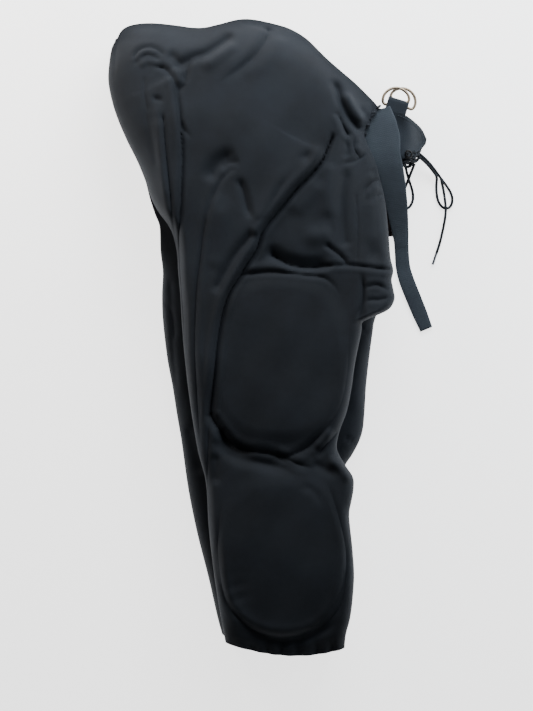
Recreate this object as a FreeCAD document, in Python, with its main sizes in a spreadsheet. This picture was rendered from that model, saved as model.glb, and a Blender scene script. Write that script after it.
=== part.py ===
"""Padded lace-up sports pants, lying on their left side.

+Z is up from the floor, +Y runs towards the waist and +X towards the front of the body. The right leg
lies on the left leg. Each leg is a thigh sleeve and a knee sleeve, and their ends meet on a fold line.
The rounded upper end of a thigh sleeve turns inside the seat, about an upright line through the hip.
Millimetres throughout.
"""

import FreeCAD
import Part
import Sketcher
import math
import os

from FreeCAD import Placement, Rotation, Vector

doc = FreeCAD.newDocument("padded_pants")
sheet = doc.addObject("Spreadsheet::Sheet", "Sizes")
kept = []

SIZES = {
    # cloth and foam
    "cloth_thick": 2.0, "seat_thick": 2.5, "liner_thick": 1.0, "facing_thick": 2.5,
    "pad_thick": 12.0, "pad_round": 4.0, "pad_gap": 0.3, "liner_margin": 4.0,
    # seat: oval sections from the crotch up to the waist
    "crotch_station": 58, "crotch_left": -130, "crotch_right": 138, "crotch_low": -0.5, "crotch_high": 80,
    "hip_station": 141, "hip_left": -131, "hip_right": 134, "hip_low": -0.5, "hip_high": 92,
    "belly_station": 184, "belly_left": -149, "belly_right": 128, "belly_low": -0.5, "belly_high": 94,
    "belt_station": 240, "belt_left": -177, "belt_right": 112, "belt_low": -0.5, "belt_high": 92,
    "lobe_station": 292, "lobe_left": -186, "lobe_right": 104, "lobe_low": -0.5, "lobe_high": 84,
    "top_station": 366, "top_left": -180, "top_right": 104, "top_low": -0.5, "top_high": 76,
    "seam_height": 47,
    "fly_foot": 135, "fly_back": 96, "fly_low": 9, "fly_high": 60,
    # legs: the left one lies on the floor, the right one on it
    "hip_line": 60, "hip_round": 98, "knee_line": -136, "knee_gap": 0.5, "knee_pivot": 40,
    "knee_back_rise": 43, "knee_front_rise": 4, "knee_reach": 130, "sleeve_top": 170,
    "hem_line": -362, "left_low": 3, "left_high": 36.6, "floor_low": 0,
    "right_low": 39, "right_high": 75.6,
    "right_hip_middle": -9, "left_hip_middle": -1,
    "mid_station": -40, "right_mid_left": -108, "right_mid_right": 88,
    "right_knee_left": -96, "right_knee_right": 80,
    "right_shin_station": -198, "right_shin_left": -80, "right_shin_right": 91,
    "right_calf_station": -290, "right_calf_left": -66, "right_calf_right": 94,
    "right_hem_left": -46, "right_hem_right": 84,
    "left_mid_left": -112, "left_mid_right": 101,
    "left_knee_left": -101, "left_knee_right": 92,
    "left_shin_station": -198, "left_shin_left": -90, "left_shin_right": 86,
    "left_calf_station": -290, "left_calf_left": -66, "left_calf_right": 84,
    "left_hem_left": -50, "left_hem_right": 84,
    "elastic_width": 16, "elastic_thick": 1.6, "elastic_gap": 0.4,
    # pads: width, length, middle across and lowest edge
    "thigh_pad_width": 146, "thigh_pad_length": 178, "thigh_pad_foot": -117, "thigh_pad_corner": 34,
    "right_thigh_pad_middle": 2.5, "left_thigh_pad_middle": 12,
    "knee_pad_width": 128, "knee_pad_length": 174, "knee_pad_foot": -336, "knee_pad_corner": 40,
    "right_knee_pad_middle": 13, "left_knee_pad_middle": 8,
    "hip_pad_across": 62, "hip_pad_along": 77, "hip_pad_middle": -5, "hip_pad_station": 249,
    "right_hip_pad_low": 64, "left_hip_pad_low": 6.5,
    "tail_pad_width": 49, "tail_pad_length": 92, "tail_pad_foot": 242, "tail_pad_low": 20,
    "tail_pad_face": -142, "tail_pad_corner": 18,
    # belt, rings and lace
    "belt_width": 25, "belt_thick": 1.6, "belt_foot": 232, "belt_end": 60, "belt_back": -126,
    "belt_floor": 2.9, "belt_roof": 86, "tunnel_width": 34, "tunnel_thick": 1.2, "tunnel_gap": 0.3,
    "gusset_low": 37.0, "gusset_thick": 1.6, "gusset_length": 74,
    "loop_width": 24.4, "loop_thick": 1.2, "loop_room": 4.3, "loop_deep": 9, "loop_length": 36,
    "loop_height": 26, "ring_wire": 1.4, "ring_inside": 30, "ring_stack": 1.7,
    "eyelet_hole": 2.6, "eyelet_barrel": 3.2, "eyelet_flange": 5.0, "eyelet_rim": 0.8,
    "lace_thick": 3.0, "tag_length": 14, "tag_thick": 2.6,
}

# The waist edge seen from above, from the back of the waist to the front, as two-arc lobes.
WAIST_EDGE = [
    [(-192, 268), (-181, 326), (-140, 354.5)],
    [(-140, 354.5), (-108, 352), (-77.5, 350.5)],
    [(-77.5, 350.5), (-52, 359), (-28, 362)],
    [(-28, 362), (12, 352), (66, 309)],
    [(66, 309), (99, 281), (118, 263)],
]
LEFT_FACING = [(104, 150), (104, 236), (138, 256), (153, 253), (170, 246), (184, 223), (176, 209), (150, 196),
               (142, 150)]
RIGHT_FACING = [(98, 222), (98, 236), (111, 232), (124, 200), (131, 165), (133, 142), (112, 142), (108, 190)]
TONGUE = [(100, 137.5), (100, 228), (122, 214), (134.5, 176), (134.5, 137.5)]
LEFT_EYELETS = [(173, 220), (158, 209), (143, 194), (135, 168)]
RIGHT_EYELETS = [(105, 222), (114, 200), (120, 178), (122.5, 156)]
LEFT_FACING_LOW, TONGUE_LOW, RIGHT_FACING_LOW = 9.5, 15.0, 22.0

# Where the waist belt's two ends run, as (point, direction across the strap, width, thickness).
FRONT_STRAP = [
    ((60.5, 244.5, 83.6), (0, 1, 0), 25, 1.6),
    ((84, 244, 66), (0, 1, 0), 25, 1.6),
    ((104, 241, 48), (0.3, 0.95, 0), 25, 1.6),
    ((120, 228, 41), (0.6, 0.8, 0), 27, 1.6),
    ((133, 206, 38), (0.88, 0.48, 0), 28, 1.6),
    ((141, 178, 33), (0.98, 0.18, 0), 26, 1.6),
    ((146, 145, 19), (1, 0.1, 0), 21, 2.4),
    ((149, 120, 5.5), (1, 0.05, 0), 17, 2.4),
    ((149.5, 108, 2.2), (1, 0.05, 0), 16, 2.4),
]
TAIL_STRAP = [
    ((149.5, 107, 1.4), (1, 0.05, 0), 16, 2.4),
    ((151.5, 88, 1.4), (0.99, 0.15, 0), 16, 2.4),
    ((157.5, 62, 1.4), (0.94, 0.34, 0), 16, 2.4),
    ((167, 34, 1.4), (0.92, 0.39, 0), 16, 2.4),
    ((178.4, 6, 1.4), (0.86, 0.5, 0), 16, 2.4),
]
RING_STRAP = [
    ((60.2, 244.5, 4.4), (0, 1, 0), 25, 1.6),
    ((76, 244.5, 9.5), (0, 1, 0), 25, 1.6),
    ((90, 244.5, 15.4), (0, 1, 0), 25, 1.6),
    ((104, 244.5, 18.5), (0, 1, 0), 25, 1.6),
    ((126, 244.5, 19.2), (0, 1, 0), 25, 1.6),
    ((147, 244.5, 19.2), (0, 1, 0), 25, 1.6),
]
LOOP_PLACE, LOOP_LEAN = (146.5, 268.5), -17
UPPER_RING_LEAN, LOWER_RING_LEAN = 9, -10

# The lace: two rungs across the fly and the loose ends of its bow, as the points of their routes.
UPPER_RUNG = [(105, 222, 27), (118, 221.5, 27), (131, 218, 23.5), (144, 213, 17.5), (158, 209, 15.5)]
LOWER_RUNG = [(114, 200, 27), (125, 199, 27), (134, 196.5, 22), (143, 194, 15.5)]
BOW_END = [(177, 217, 15.5), (184.5, 212.5, 14), (190, 205, 7.5), (193, 196.5, 2.2), (191, 186.5, 1.6),
           (187.5, 174, 1.6), (187.5, 161, 1.6), (193, 150.5, 1.6), (202, 147, 1.6), (209, 153.5, 2.0),
           (210.5, 163.5, 2.4), (206.5, 174, 4.2), (200, 183, 6.6), (192.5, 188.5, 6.8), (185.5, 195.5, 6.0),
           (184.5, 204, 6.6)]
TAIL_END = [(191.5, 182.5, 6.6), (194.2, 171, 5), (195.8, 159.5, 4), (196.6, 148, 6.8), (196.6, 136.5, 4),
            (195.6, 124.5, 1.6), (193.4, 112, 1.6), (190.2, 99.5, 1.6), (186.2, 87.5, 1.6), (181.6, 76.5, 1.6)]
SHORT_END = [(158.5, 204, 15.5), (161, 196, 14.2), (163.5, 187, 8), (166, 177.5, 2), (167.5, 165.5, 1.6),
             (164.5, 154.5, 1.6), (161.5, 144.5, 1.6)]


def fill_sheet():
    """One row for each driving size, with its name as the alias."""
    for row, (name, value) in enumerate(SIZES.items(), 1):
        sheet.set(f"A{row}", name)
        sheet.set(f"B{row}", str(value))
        sheet.setAlias(f"B{row}", name)
    doc.recompute()


def size(name):
    return float(getattr(sheet, name))


def cells(text):
    """An expression with the sheet's name put before each size in it."""
    for name in sorted(SIZES, key=len, reverse=True):
        text = text.replace(f"[{name}]", f"Sizes.{name}")
    return text


def value(text):
    """The number that an expression of sizes gives."""
    total = text
    for name in sorted(SIZES, key=len, reverse=True):
        total = total.replace(f"[{name}]", f"({size(name)})")
    return FreeCAD.Units.Quantity(total).Value


def keep(thing, label):
    """Marks a finished sub-part: its label names its file."""
    thing.Label = label
    kept.append(thing)
    return thing


def new_body(name):
    return doc.addObject("PartDesign::Body", name + "_body")


def sketch(body, plane, name, lift):
    """A sketch on one of its body's own origin planes, lifted along the plane's normal by an expression."""
    made = body.newObject("Sketcher::SketchObject", name)
    support = next(f for f in body.Origin.OriginFeatures if f.Role == plane)
    made.AttachmentSupport = (support, [""])
    made.MapMode = "FlatFace"
    made.setExpression("AttachmentOffset.Base.z", cells(lift))
    return made


def driven(made, kind, name, text, *where):
    """A named dimension of a sketch, driven by an expression of sizes."""
    index = made.addConstraint(Sketcher.Constraint(kind, *where, value(text)))
    made.renameConstraint(index, name)
    made.setExpression("Constraints." + name, cells(text))


def joined(made, first, count, kind="Tangent"):
    """Joins a closed run of edges where their ends meet."""
    for step in range(count):
        one, other = first + step, first + (step + 1) % count
        meet = [(i, j) for i in (2, 1) for j in (1, 2)
                if made.getPoint(one, i).distanceToPoint(made.getPoint(other, j)) < 1e-6]
        made.addConstraint(Sketcher.Constraint(kind, one, meet[0][0], other, meet[0][1]))


def oval(made, left, right, low, high):
    """A flattened oval: two straight runs and two half rounds, from expressions of its four sides."""
    xl, xr, lo, hi = (value(t) for t in (left, right, low, high))
    bend, middle = (hi - lo) / 2, (hi + lo) / 2
    one, two = xl + bend, xr - bend
    first = made.GeometryCount
    made.addGeometry([
        Part.Arc(Vector(one, hi, 0), Vector(xl, middle, 0), Vector(one, lo, 0)),
        Part.LineSegment(Vector(one, lo, 0), Vector(two, lo, 0)),
        Part.Arc(Vector(two, lo, 0), Vector(xr, middle, 0), Vector(two, hi, 0)),
        Part.LineSegment(Vector(two, hi, 0), Vector(one, hi, 0)),
    ], False)
    joined(made, first, 4)
    made.addConstraint(Sketcher.Constraint("Horizontal", first + 1))
    tag = f"_{first}"
    driven(made, "Radius", "bend" + tag, f"(({high})-({low}))/2", first)
    driven(made, "DistanceX", "left" + tag, f"({left})+(({high})-({low}))/2", -1, 1, first, 3)
    driven(made, "DistanceX", "right" + tag, f"({right})-(({high})-({low}))/2", -1, 1, first + 2, 3)
    driven(made, "DistanceY", "middle" + tag, f"(({high})+({low}))/2", -1, 1, first, 3)


def box_outline(made, left, right, low, high):
    """A rectangle from expressions of its four sides."""
    xl, xr, lo, hi = (value(t) for t in (left, right, low, high))
    corners = [Vector(xl, lo, 0), Vector(xr, lo, 0), Vector(xr, hi, 0), Vector(xl, hi, 0)]
    first = made.GeometryCount
    made.addGeometry([Part.LineSegment(corners[i], corners[(i + 1) % 4]) for i in range(4)], False)
    joined(made, first, 4, "Coincident")
    for edge, way in enumerate(["Horizontal", "Vertical", "Horizontal", "Vertical"]):
        made.addConstraint(Sketcher.Constraint(way, first + edge))
    driven(made, "DistanceX", "left", left, -1, 1, first, 1)
    driven(made, "DistanceX", "right", right, -1, 1, first, 2)
    driven(made, "DistanceY", "low", low, -1, 1, first, 1)
    driven(made, "DistanceY", "high", high, -1, 1, first + 2, 1)


def pad_outline(made, middle, width, foot, top, corner):
    """A leg pad seen from above: a half round below, straight sides, and rounded corners above."""
    m, w, f, t, c = (value(x) for x in (middle, width, foot, top, corner))
    half, diagonal = w / 2, math.sqrt(0.5)
    made.addGeometry([
        Part.Arc(Vector(m - half, f + half, 0), Vector(m, f, 0), Vector(m + half, f + half, 0)),
        Part.LineSegment(Vector(m + half, f + half, 0), Vector(m + half, t - c, 0)),
        Part.Arc(Vector(m + half, t - c, 0), Vector(m + half - c + c * diagonal, t - c + c * diagonal, 0),
                 Vector(m + half - c, t, 0)),
        Part.LineSegment(Vector(m + half - c, t, 0), Vector(m - half + c, t, 0)),
        Part.Arc(Vector(m - half + c, t, 0), Vector(m - half + c - c * diagonal, t - c + c * diagonal, 0),
                 Vector(m - half, t - c, 0)),
        Part.LineSegment(Vector(m - half, t - c, 0), Vector(m - half, f + half, 0)),
    ], False)
    joined(made, 0, 6)
    made.addConstraint([Sketcher.Constraint("Vertical", 1), Sketcher.Constraint("Horizontal", 3),
                        Sketcher.Constraint("Vertical", 5), Sketcher.Constraint("Equal", 2, 4)])
    driven(made, "Radius", "half_width", f"({width})/2", 0)
    driven(made, "Radius", "corner", corner, 2)
    driven(made, "DistanceX", "middle", middle, -1, 1, 0, 3)
    driven(made, "DistanceY", "foot", f"({foot})+({width})/2", -1, 1, 0, 3)
    driven(made, "DistanceY", "top", top, -1, 1, 3, 1)


def polygon(made, points):
    corners = [Vector(x, y, 0) for x, y in points]
    first = made.GeometryCount
    count = len(corners)
    made.addGeometry([Part.LineSegment(corners[i], corners[(i + 1) % count]) for i in range(count)], False)
    joined(made, first, count, "Coincident")


def circles(made, points, radius):
    for x, y in points:
        made.addGeometry(Part.Circle(Vector(x, y, 0), Vector(0, 0, 1), value(radius)), False)


def feature(body, kind, name, profile, **settings):
    """A PartDesign feature of one sketch. A text setting is an expression of sizes."""
    made = body.newObject("PartDesign::" + kind, name)
    made.Profile = profile
    for key, setting in settings.items():
        if isinstance(setting, str):
            made.setExpression(key, cells(setting))
        else:
            setattr(made, key, setting)
    return made


def shell_loft(body, sections, thick):
    """A cloth tube along Y: a loft through oval sections, less the same loft taken in by its thickness.

    Each section is (station, left, right, low, high) as expressions."""
    for kind, tag, inset in (("AdditiveLoft", "outer", "0"), ("SubtractiveLoft", "inner", thick)):
        rings = []
        for count, (station, left, right, low, high) in enumerate(sections):
            ring = sketch(body, "XZ_Plane", f"{body.Name}_{tag}_{count}", f"-({station})")
            oval(ring, f"({left})+({inset})", f"({right})-({inset})", f"({low})+({inset})", f"({high})-({inset})")
            rings.append(ring)
        feature(body, kind, f"{body.Name}_{tag}", rings[0], Sections=rings[1:], Ruled=False)


def cut_all(body, profile, name, reach=400.0):
    """A cut right through the body on both sides of its sketch."""
    return feature(body, "Pocket", name, profile, Type=0, Length=reach, Midplane=True)


def seat_panel(label, upper):
    """One half of the seat, from the crotch to the waist edge, open at the fly."""
    body = new_body(label)
    names = ("crotch", "hip", "belly", "belt", "lobe", "top")
    shell_loft(body, [tuple(f"[{n}_{side}]" for side in ("station", "left", "right", "low", "high"))
                      for n in names], "[seat_thick]")
    edge = sketch(body, "XY_Plane", label + "_waist_edge", "0")
    arcs = [Part.Arc(*[Vector(x, y, 0) for x, y in points]) for points in WAIST_EDGE]
    start, end = WAIST_EDGE[0][0], WAIST_EDGE[-1][2]
    far = 400
    corners = [end, (end[0] + far, end[1] - far / 4), (end[0] + far, far), (start[0] - far, far),
               (start[0] - far, start[1]), start]
    lines = [Part.LineSegment(Vector(*corners[i], 0), Vector(*corners[i + 1], 0)) for i in range(5)]
    edge.addGeometry(arcs + lines, False)
    joined(edge, 0, len(arcs) + len(lines), "Coincident")
    cut_all(body, edge, label + "_waist_cut")
    half = sketch(body, "XY_Plane", label + "_half", "[seam_height]")
    box_outline(half, "[lobe_left]-50", "[crotch_right]+50", "[crotch_station]-50", "[top_station]+50")
    feature(body, "Pocket", label + "_half_cut", half, Type=0, Length=200.0, Reversed=not upper)
    fly = sketch(body, "XY_Plane", label + "_fly", "[fly_low]")
    box_outline(fly, "[fly_back]", "[crotch_right]+50", "[fly_foot]", "[top_station]+50")
    feature(body, "Pocket", label + "_fly_cut", fly, Length="[fly_high]-[fly_low]", Type=0, Reversed=True)
    if not upper:
        floor = sketch(body, "XY_Plane", label + "_floor", "0")
        box_outline(floor, "[lobe_left]-50", "[crotch_right]+50", "[crotch_station]-50", "[top_station]+50")
        feature(body, "Pocket", label + "_floor_cut", floor, Type=0, Length=20.0)
    return keep(body, label)


def leg_sections(side, part):
    """The oval sections of one sleeve, from its upper end to its lower end."""
    low, high = (f"[{side}_low]", f"[{side}_high]")
    if part == "thigh":
        hip = f"[{side}_hip_middle]"
        ends = (f"{hip}-[hip_round]", f"{hip}+[hip_round]")
        knee = ("[knee_line]+[knee_gap]", f"[{side}_knee_left]", f"[{side}_knee_right]")
        return [("[sleeve_top]", *ends, low, high), ("[hip_line]", *ends, low, high),
                ("[mid_station]", f"[{side}_mid_left]", f"[{side}_mid_right]", low, high),
                (*knee, low, high)]
    low = low if side == "right" else "[floor_low]"
    return [("[knee_line]-[knee_gap]", f"[{side}_knee_left]", f"[{side}_knee_right]", low, high),
            *[(f"[{side}_{at}_station]", f"[{side}_{at}_left]", f"[{side}_{at}_right]", low, high)
              for at in ("shin", "calf")],
            ("[hem_line]", f"[{side}_hem_left]", f"[{side}_hem_right]", low, high)]


def knee_notch(body, label, way):
    """Cuts a sleeve's end to a shallow V about the knee's upright line, so that the knee can fold back."""
    notch = sketch(body, "XY_Plane", label + "_notch", "0")
    pivot, line, reach = size("knee_pivot"), size("knee_line") + way * size("knee_gap"), size("knee_reach")
    polygon(notch, [
        (pivot, line), (pivot - reach, line + way * size("knee_back_rise")), (pivot - 2 * reach, line),
        (pivot - 2 * reach, line - way * reach / 2), (pivot + reach, line - way * reach / 2),
        (pivot + reach, line + way * size("knee_front_rise") * 2),
    ])
    cut_all(body, notch, label + "_notch_cut")


def thigh_sleeve(side):
    """A thigh sleeve, whose upper end is rounded about the hip's upright line."""
    label = side + "_thigh_sleeve"
    body = new_body(label)
    shell_loft(body, leg_sections(side, "thigh"), "[cloth_thick]")
    dome = sketch(body, "XY_Plane", label + "_dome", "0")
    middle, line, round_ = value(f"[{side}_hip_middle]"), size("hip_line"), size("hip_round")
    left, right, top = middle - round_, middle + round_, size("sleeve_top") + 10
    around = [(left, line), (left - 20, line), (left - 20, top), (right + 20, top), (right + 20, line),
              (right, line)]
    dome.addGeometry([Part.LineSegment(Vector(*around[i], 0), Vector(*around[i + 1], 0)) for i in range(5)]
                     + [Part.Arc(Vector(right, line, 0), Vector(middle, line + round_, 0),
                                 Vector(left, line, 0))], False)
    joined(dome, 0, 6, "Coincident")
    cut_all(body, dome, label + "_dome_cut")
    knee_notch(body, label, 1)
    return keep(body, label)


def knee_sleeve(side):
    label = side + "_knee_sleeve"
    body = new_body(label)
    shell_loft(body, leg_sections(side, "knee"), "[cloth_thick]")
    knee_notch(body, label, -1)
    return keep(body, label)


def hem_elastic(side):
    """The elastic turned into the hem: a narrow band just inside the sleeve's mouth."""
    label = side + "_hem_elastic"
    body = new_body(label)
    low = "[right_low]" if side == "right" else "[floor_low]"
    ring = sketch(body, "XZ_Plane", label + "_ring", "-[hem_line]-[elastic_width]")
    for inset in ("[cloth_thick]+[elastic_gap]", "[cloth_thick]+[elastic_gap]+[elastic_thick]"):
        oval(ring, f"[{side}_hem_left]+2+{inset}", f"[{side}_hem_right]-2-({inset})", f"{low}+{inset}",
             f"[{side}_high]-({inset})")
    feature(body, "Pad", label + "_band", ring, Type=0, Length="[elastic_width]-1")
    return keep(body, label)


def slab(label, outline, low, thick, round_edge=None):
    """A flat piece: an outline padded up from a height, with its edges rounded over if asked."""
    body = new_body(label)
    made = sketch(body, "XY_Plane", label + "_outline", low)
    outline(made)
    grown = feature(body, "Pad", label + "_pad", made, Type=0, Length=thick)
    if round_edge:
        doc.recompute()
        rims = [f"Edge{i}" for i, e in enumerate(grown.Shape.Edges, 1)
                if abs(e.BoundBox.ZMax - e.BoundBox.ZMin) < 0.01]
        rounded = body.newObject("PartDesign::Fillet", label + "_edges")
        rounded.Base = (grown, rims)
        rounded.setExpression("Radius", cells(round_edge))
    return keep(body, label)


def leg_pad(side, part):
    """A foam pad just under the outer cloth, and the pocket sheet that holds it from inside.

    The right leg's pads face up and the left leg's face the floor."""
    key, middle = part + "_pad", f"[{side}_{part}_pad_middle]"
    wall = "[cloth_thick]+[pad_gap]"
    if side == "right":
        low = f"[right_high]-({wall})-[pad_thick]"
        under = f"{low}-[pad_gap]-[liner_thick]"
    else:
        floor = "[left_low]" if part == "thigh" else "[floor_low]"
        low = f"{floor}+{wall}"
        under = f"{low}+[pad_thick]+[pad_gap]"

    def outline(grow):
        return lambda made: pad_outline(made, middle, f"[{key}_width]+2*({grow})", f"[{key}_foot]-({grow})",
                                        f"[{key}_foot]+[{key}_length]+({grow})", f"[{key}_corner]")
    slab(f"{side}_{key}", outline("0"), low, "[pad_thick]", "[pad_round]")
    slab(f"{side}_{key}_pocket", outline("[liner_margin]"), under, "[liner_thick]")


def ellipse(made, grow):
    across, along = value(f"[hip_pad_across]+{grow}"), value(f"[hip_pad_along]+{grow}")
    middle, station = size("hip_pad_middle"), size("hip_pad_station")
    flat = across < along
    major = Vector(middle, station + along, 0) if flat else Vector(middle + across, station, 0)
    minor = Vector(middle + across, station, 0) if flat else Vector(middle, station + along, 0)
    made.addGeometry(Part.Ellipse(major, minor, Vector(middle, station, 0)), False)


def hip_pad(side):
    low = f"[{side}_hip_pad_low]"
    slab(f"{side}_hip_pad", lambda made: ellipse(made, "0"), low, "[pad_thick]", "[pad_round]")
    under = f"{low}-[pad_gap]-[liner_thick]" if side == "right" else f"{low}+[pad_thick]+[pad_gap]"
    slab(f"{side}_hip_pad_pocket", lambda made: ellipse(made, "[liner_margin]"), under, "[liner_thick]")


def tail_pad():
    """The pad over the tailbone stands on edge in the fold at the back of the seat."""
    for label, grow, face, thick in (
            ("tail_pad", "0", "[tail_pad_face]-[pad_thick]", "[pad_thick]"),
            ("tail_pad_pocket", "2", "[tail_pad_face]+[pad_gap]", "[liner_thick]")):
        body = new_body(label)
        made = sketch(body, "YZ_Plane", label + "_outline", face)
        box_outline(made, f"[tail_pad_foot]-{grow}", f"[tail_pad_foot]+[tail_pad_length]+{grow}",
                    f"[tail_pad_low]-{grow}", f"[tail_pad_low]+[tail_pad_width]+{grow}")
        grown = feature(body, "Pad", label + "_slab", made, Type=0, Length=thick)
        doc.recompute()
        corners = [f"Edge{i}" for i, e in enumerate(grown.Shape.Edges, 1)
                   if e.BoundBox.XMax - e.BoundBox.XMin > 0.5]
        rounded = body.newObject("PartDesign::Fillet", label + "_corners")
        rounded.Base = (grown, corners)
        rounded.setExpression("Radius", cells("[tail_pad_corner]"))
        keep(body, label)


def waist_band(label, inset, thick, foot, width):
    """A band that follows the inside of the seat round the back of the waist, open at the front."""
    body = new_body(label)
    made = sketch(body, "XZ_Plane", label + "_path", f"-({foot})-({width})")
    end, back = size("belt_end"), size("belt_back")
    runs = []
    for more in (value(inset), value(f"{inset}+{thick}")):
        low, high = size("belt_floor") + more, size("belt_roof") - more
        runs.append((low, high, back - (high - low) / 2))
    (low, high, left), (low_in, high_in, left_in) = runs
    middle = (low + high) / 2
    made.addGeometry([
        Part.LineSegment(Vector(end, high, 0), Vector(back, high, 0)),
        Part.Arc(Vector(back, high, 0), Vector(left, middle, 0), Vector(back, low, 0)),
        Part.LineSegment(Vector(back, low, 0), Vector(end, low, 0)),
        Part.LineSegment(Vector(end, low, 0), Vector(end, low_in, 0)),
        Part.LineSegment(Vector(end, low_in, 0), Vector(back, low_in, 0)),
        Part.Arc(Vector(back, low_in, 0), Vector(left_in, middle, 0), Vector(back, high_in, 0)),
        Part.LineSegment(Vector(back, high_in, 0), Vector(end, high_in, 0)),
        Part.LineSegment(Vector(end, high_in, 0), Vector(end, high, 0)),
    ], False)
    joined(made, 0, 8, "Coincident")
    feature(body, "Pad", label + "_band", made, Type=0, Length=width)
    return keep(body, label)


def strap(label, stations):
    """A flat strap lofted through short cross-sections."""
    rings = []
    for count, (at, across, width, thick) in enumerate(stations):
        here = Vector(*at)
        back = Vector(*stations[max(count - 1, 0)][0])
        ahead = Vector(*stations[min(count + 1, len(stations) - 1)][0])
        along = (ahead - back).normalize()
        side = Vector(*across)
        side = (side - along * side.dot(along)).normalize()
        up = side.cross(along).normalize()
        corners = [here + side * (width / 2 * i) + up * (thick / 2 * j)
                   for i, j in ((-1, -1), (1, -1), (1, 1), (-1, 1))]
        rings.append(Part.makePolygon(corners + corners[:1]))
    made = doc.addObject("Part::Feature", label + "_strap")
    made.Shape = Part.makeLoft(rings, True, len(rings) < 3)
    return keep(made, label)


def ring_loop():
    """The belt's end, folded round the straight sides of the two rings and sewn down."""
    body = new_body("ring_loop")
    made = sketch(body, "YZ_Plane", "ring_loop_profile", "-[loop_width]/2")
    room, thick = size("loop_room"), size("loop_thick")
    deep, long = size("loop_deep"), size("loop_length")
    outer = room + thick
    made.addGeometry([
        Part.LineSegment(Vector(0, outer, 0), Vector(-long, outer, 0)),
        Part.LineSegment(Vector(-long, outer, 0), Vector(-long, -outer, 0)),
        Part.LineSegment(Vector(-long, -outer, 0), Vector(0, -outer, 0)),
        Part.Arc(Vector(0, -outer, 0), Vector(outer, 0, 0), Vector(0, outer, 0)),
        Part.LineSegment(Vector(0, room, 0), Vector(-deep, room, 0)),
        Part.LineSegment(Vector(-deep, room, 0), Vector(-deep, -room, 0)),
        Part.LineSegment(Vector(-deep, -room, 0), Vector(0, -room, 0)),
        Part.Arc(Vector(0, -room, 0), Vector(room, 0, 0), Vector(0, room, 0)),
    ], False)
    joined(made, 0, 4, "Coincident")
    joined(made, 4, 4, "Coincident")
    feature(body, "Pad", "ring_loop_band", made, Type=0, Length="[loop_width]")
    body.Placement = Placement(Vector(*LOOP_PLACE, size("loop_height")),
                               Rotation(Vector(0, 0, 1), LOOP_LEAN))
    return keep(body, "ring_loop")


def d_ring(label, lean, lift, slip):
    """A wire ring: a half round and the straight side that sits in the belt's loop."""
    reach = "([ring_inside]/2+[ring_wire])"
    bow = doc.addObject("Part::Torus", label + "_bow")
    bow.Angle3 = 180
    bow.setExpression("Radius1", cells(reach))
    bow.setExpression("Radius2", cells("[ring_wire]"))
    bar = doc.addObject("Part::Cylinder", label + "_bar")
    bar.setExpression("Radius", cells("[ring_wire]"))
    bar.setExpression("Height", cells(f"2*{reach}"))
    half = value(reach)
    bar.Placement = Placement(Vector(-half, 0, 0), Rotation(Vector(0, 1, 0), 90))
    knees = []
    for side in (-1, 1):
        knee = doc.addObject("Part::Sphere", f"{label}_corner_{'lr'[side > 0]}")
        knee.setExpression("Radius", cells("[ring_wire]"))
        knee.Placement.Base = Vector(side * half, 0, 0)
        knees.append(knee)
    ring = doc.addObject("Part::MultiFuse", label + "_wire")
    ring.Shapes = [bow, bar, *knees]
    turned = Rotation(Vector(0, 0, 1), LOOP_LEAN)
    place = Vector(*LOOP_PLACE, size("loop_height")) + turned.multVec(Vector(slip, 0, lift))
    ring.Placement = Placement(place, Rotation(Vector(0, 0, 1), LOOP_LEAN + lean))
    return keep(ring, label)


def eyelets(label, points, face):
    """Four separate metal eyelets, each a barrel with a flange on the facing's top."""
    hole, barrel, flange = size("eyelet_hole"), size("eyelet_barrel"), size("eyelet_flange")
    rim, deep = size("eyelet_rim"), size("facing_thick")
    profile = [(hole, -deep), (barrel, -deep), (barrel, 0), (flange, 0), (flange, rim / 2),
               (flange - rim / 2, rim), (hole, rim)]
    corners = [Vector(x, 0, z) for x, z in profile]
    face_shape = Part.Face(Part.makePolygon(corners + corners[:1]))
    one = face_shape.revolve(Vector(0, 0, 0), Vector(0, 0, 1), 360)
    group = []
    for x, y in points:
        copy = one.copy()
        copy.translate(Vector(x, y, face))
        group.append(copy)
    made = doc.addObject("Part::Feature", label + "_group")
    made.Shape = Part.makeCompound(group)
    return keep(made, label)


def facing(label, outline, holes, low):
    """A stiff cloth facing along the fly, with a hole for each eyelet."""
    body = new_body(label)
    made = sketch(body, "XY_Plane", label + "_outline", str(low))
    polygon(made, outline)
    circles(made, holes, "[eyelet_barrel]+0.1")
    feature(body, "Pad", label + "_cloth", made, Type=0, Length="[facing_thick]")
    return keep(body, label)


def rounded_route(label, points):
    """Straight runs joined by the largest tangent arcs that they leave room for, as one wire."""
    corners = [Vector(*p) for p in points]
    edges, at, radii = [], corners[0], []
    for before, here, after in zip(corners, corners[1:], corners[2:]):
        into, out = (here - before), (after - here)
        turn = into.getAngle(out)
        cut = 0.45 * min(into.Length, out.Length)
        radii.append(cut / math.tan(turn / 2))
        into.normalize()
        out.normalize()
        start, end = here - into * cut, here + out * cut
        bisector = (out - into).normalize()
        middle = here + bisector * (radii[-1] / math.cos(turn / 2) - radii[-1])
        edges += [Part.LineSegment(at, start).toShape(), Part.Arc(start, middle, end).toShape()]
        at = end
    edges.append(Part.LineSegment(at, corners[-1]).toShape())
    print(label, "smallest bend", round(min(radii), 1), "mm")
    return Part.Wire(edges)


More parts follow.
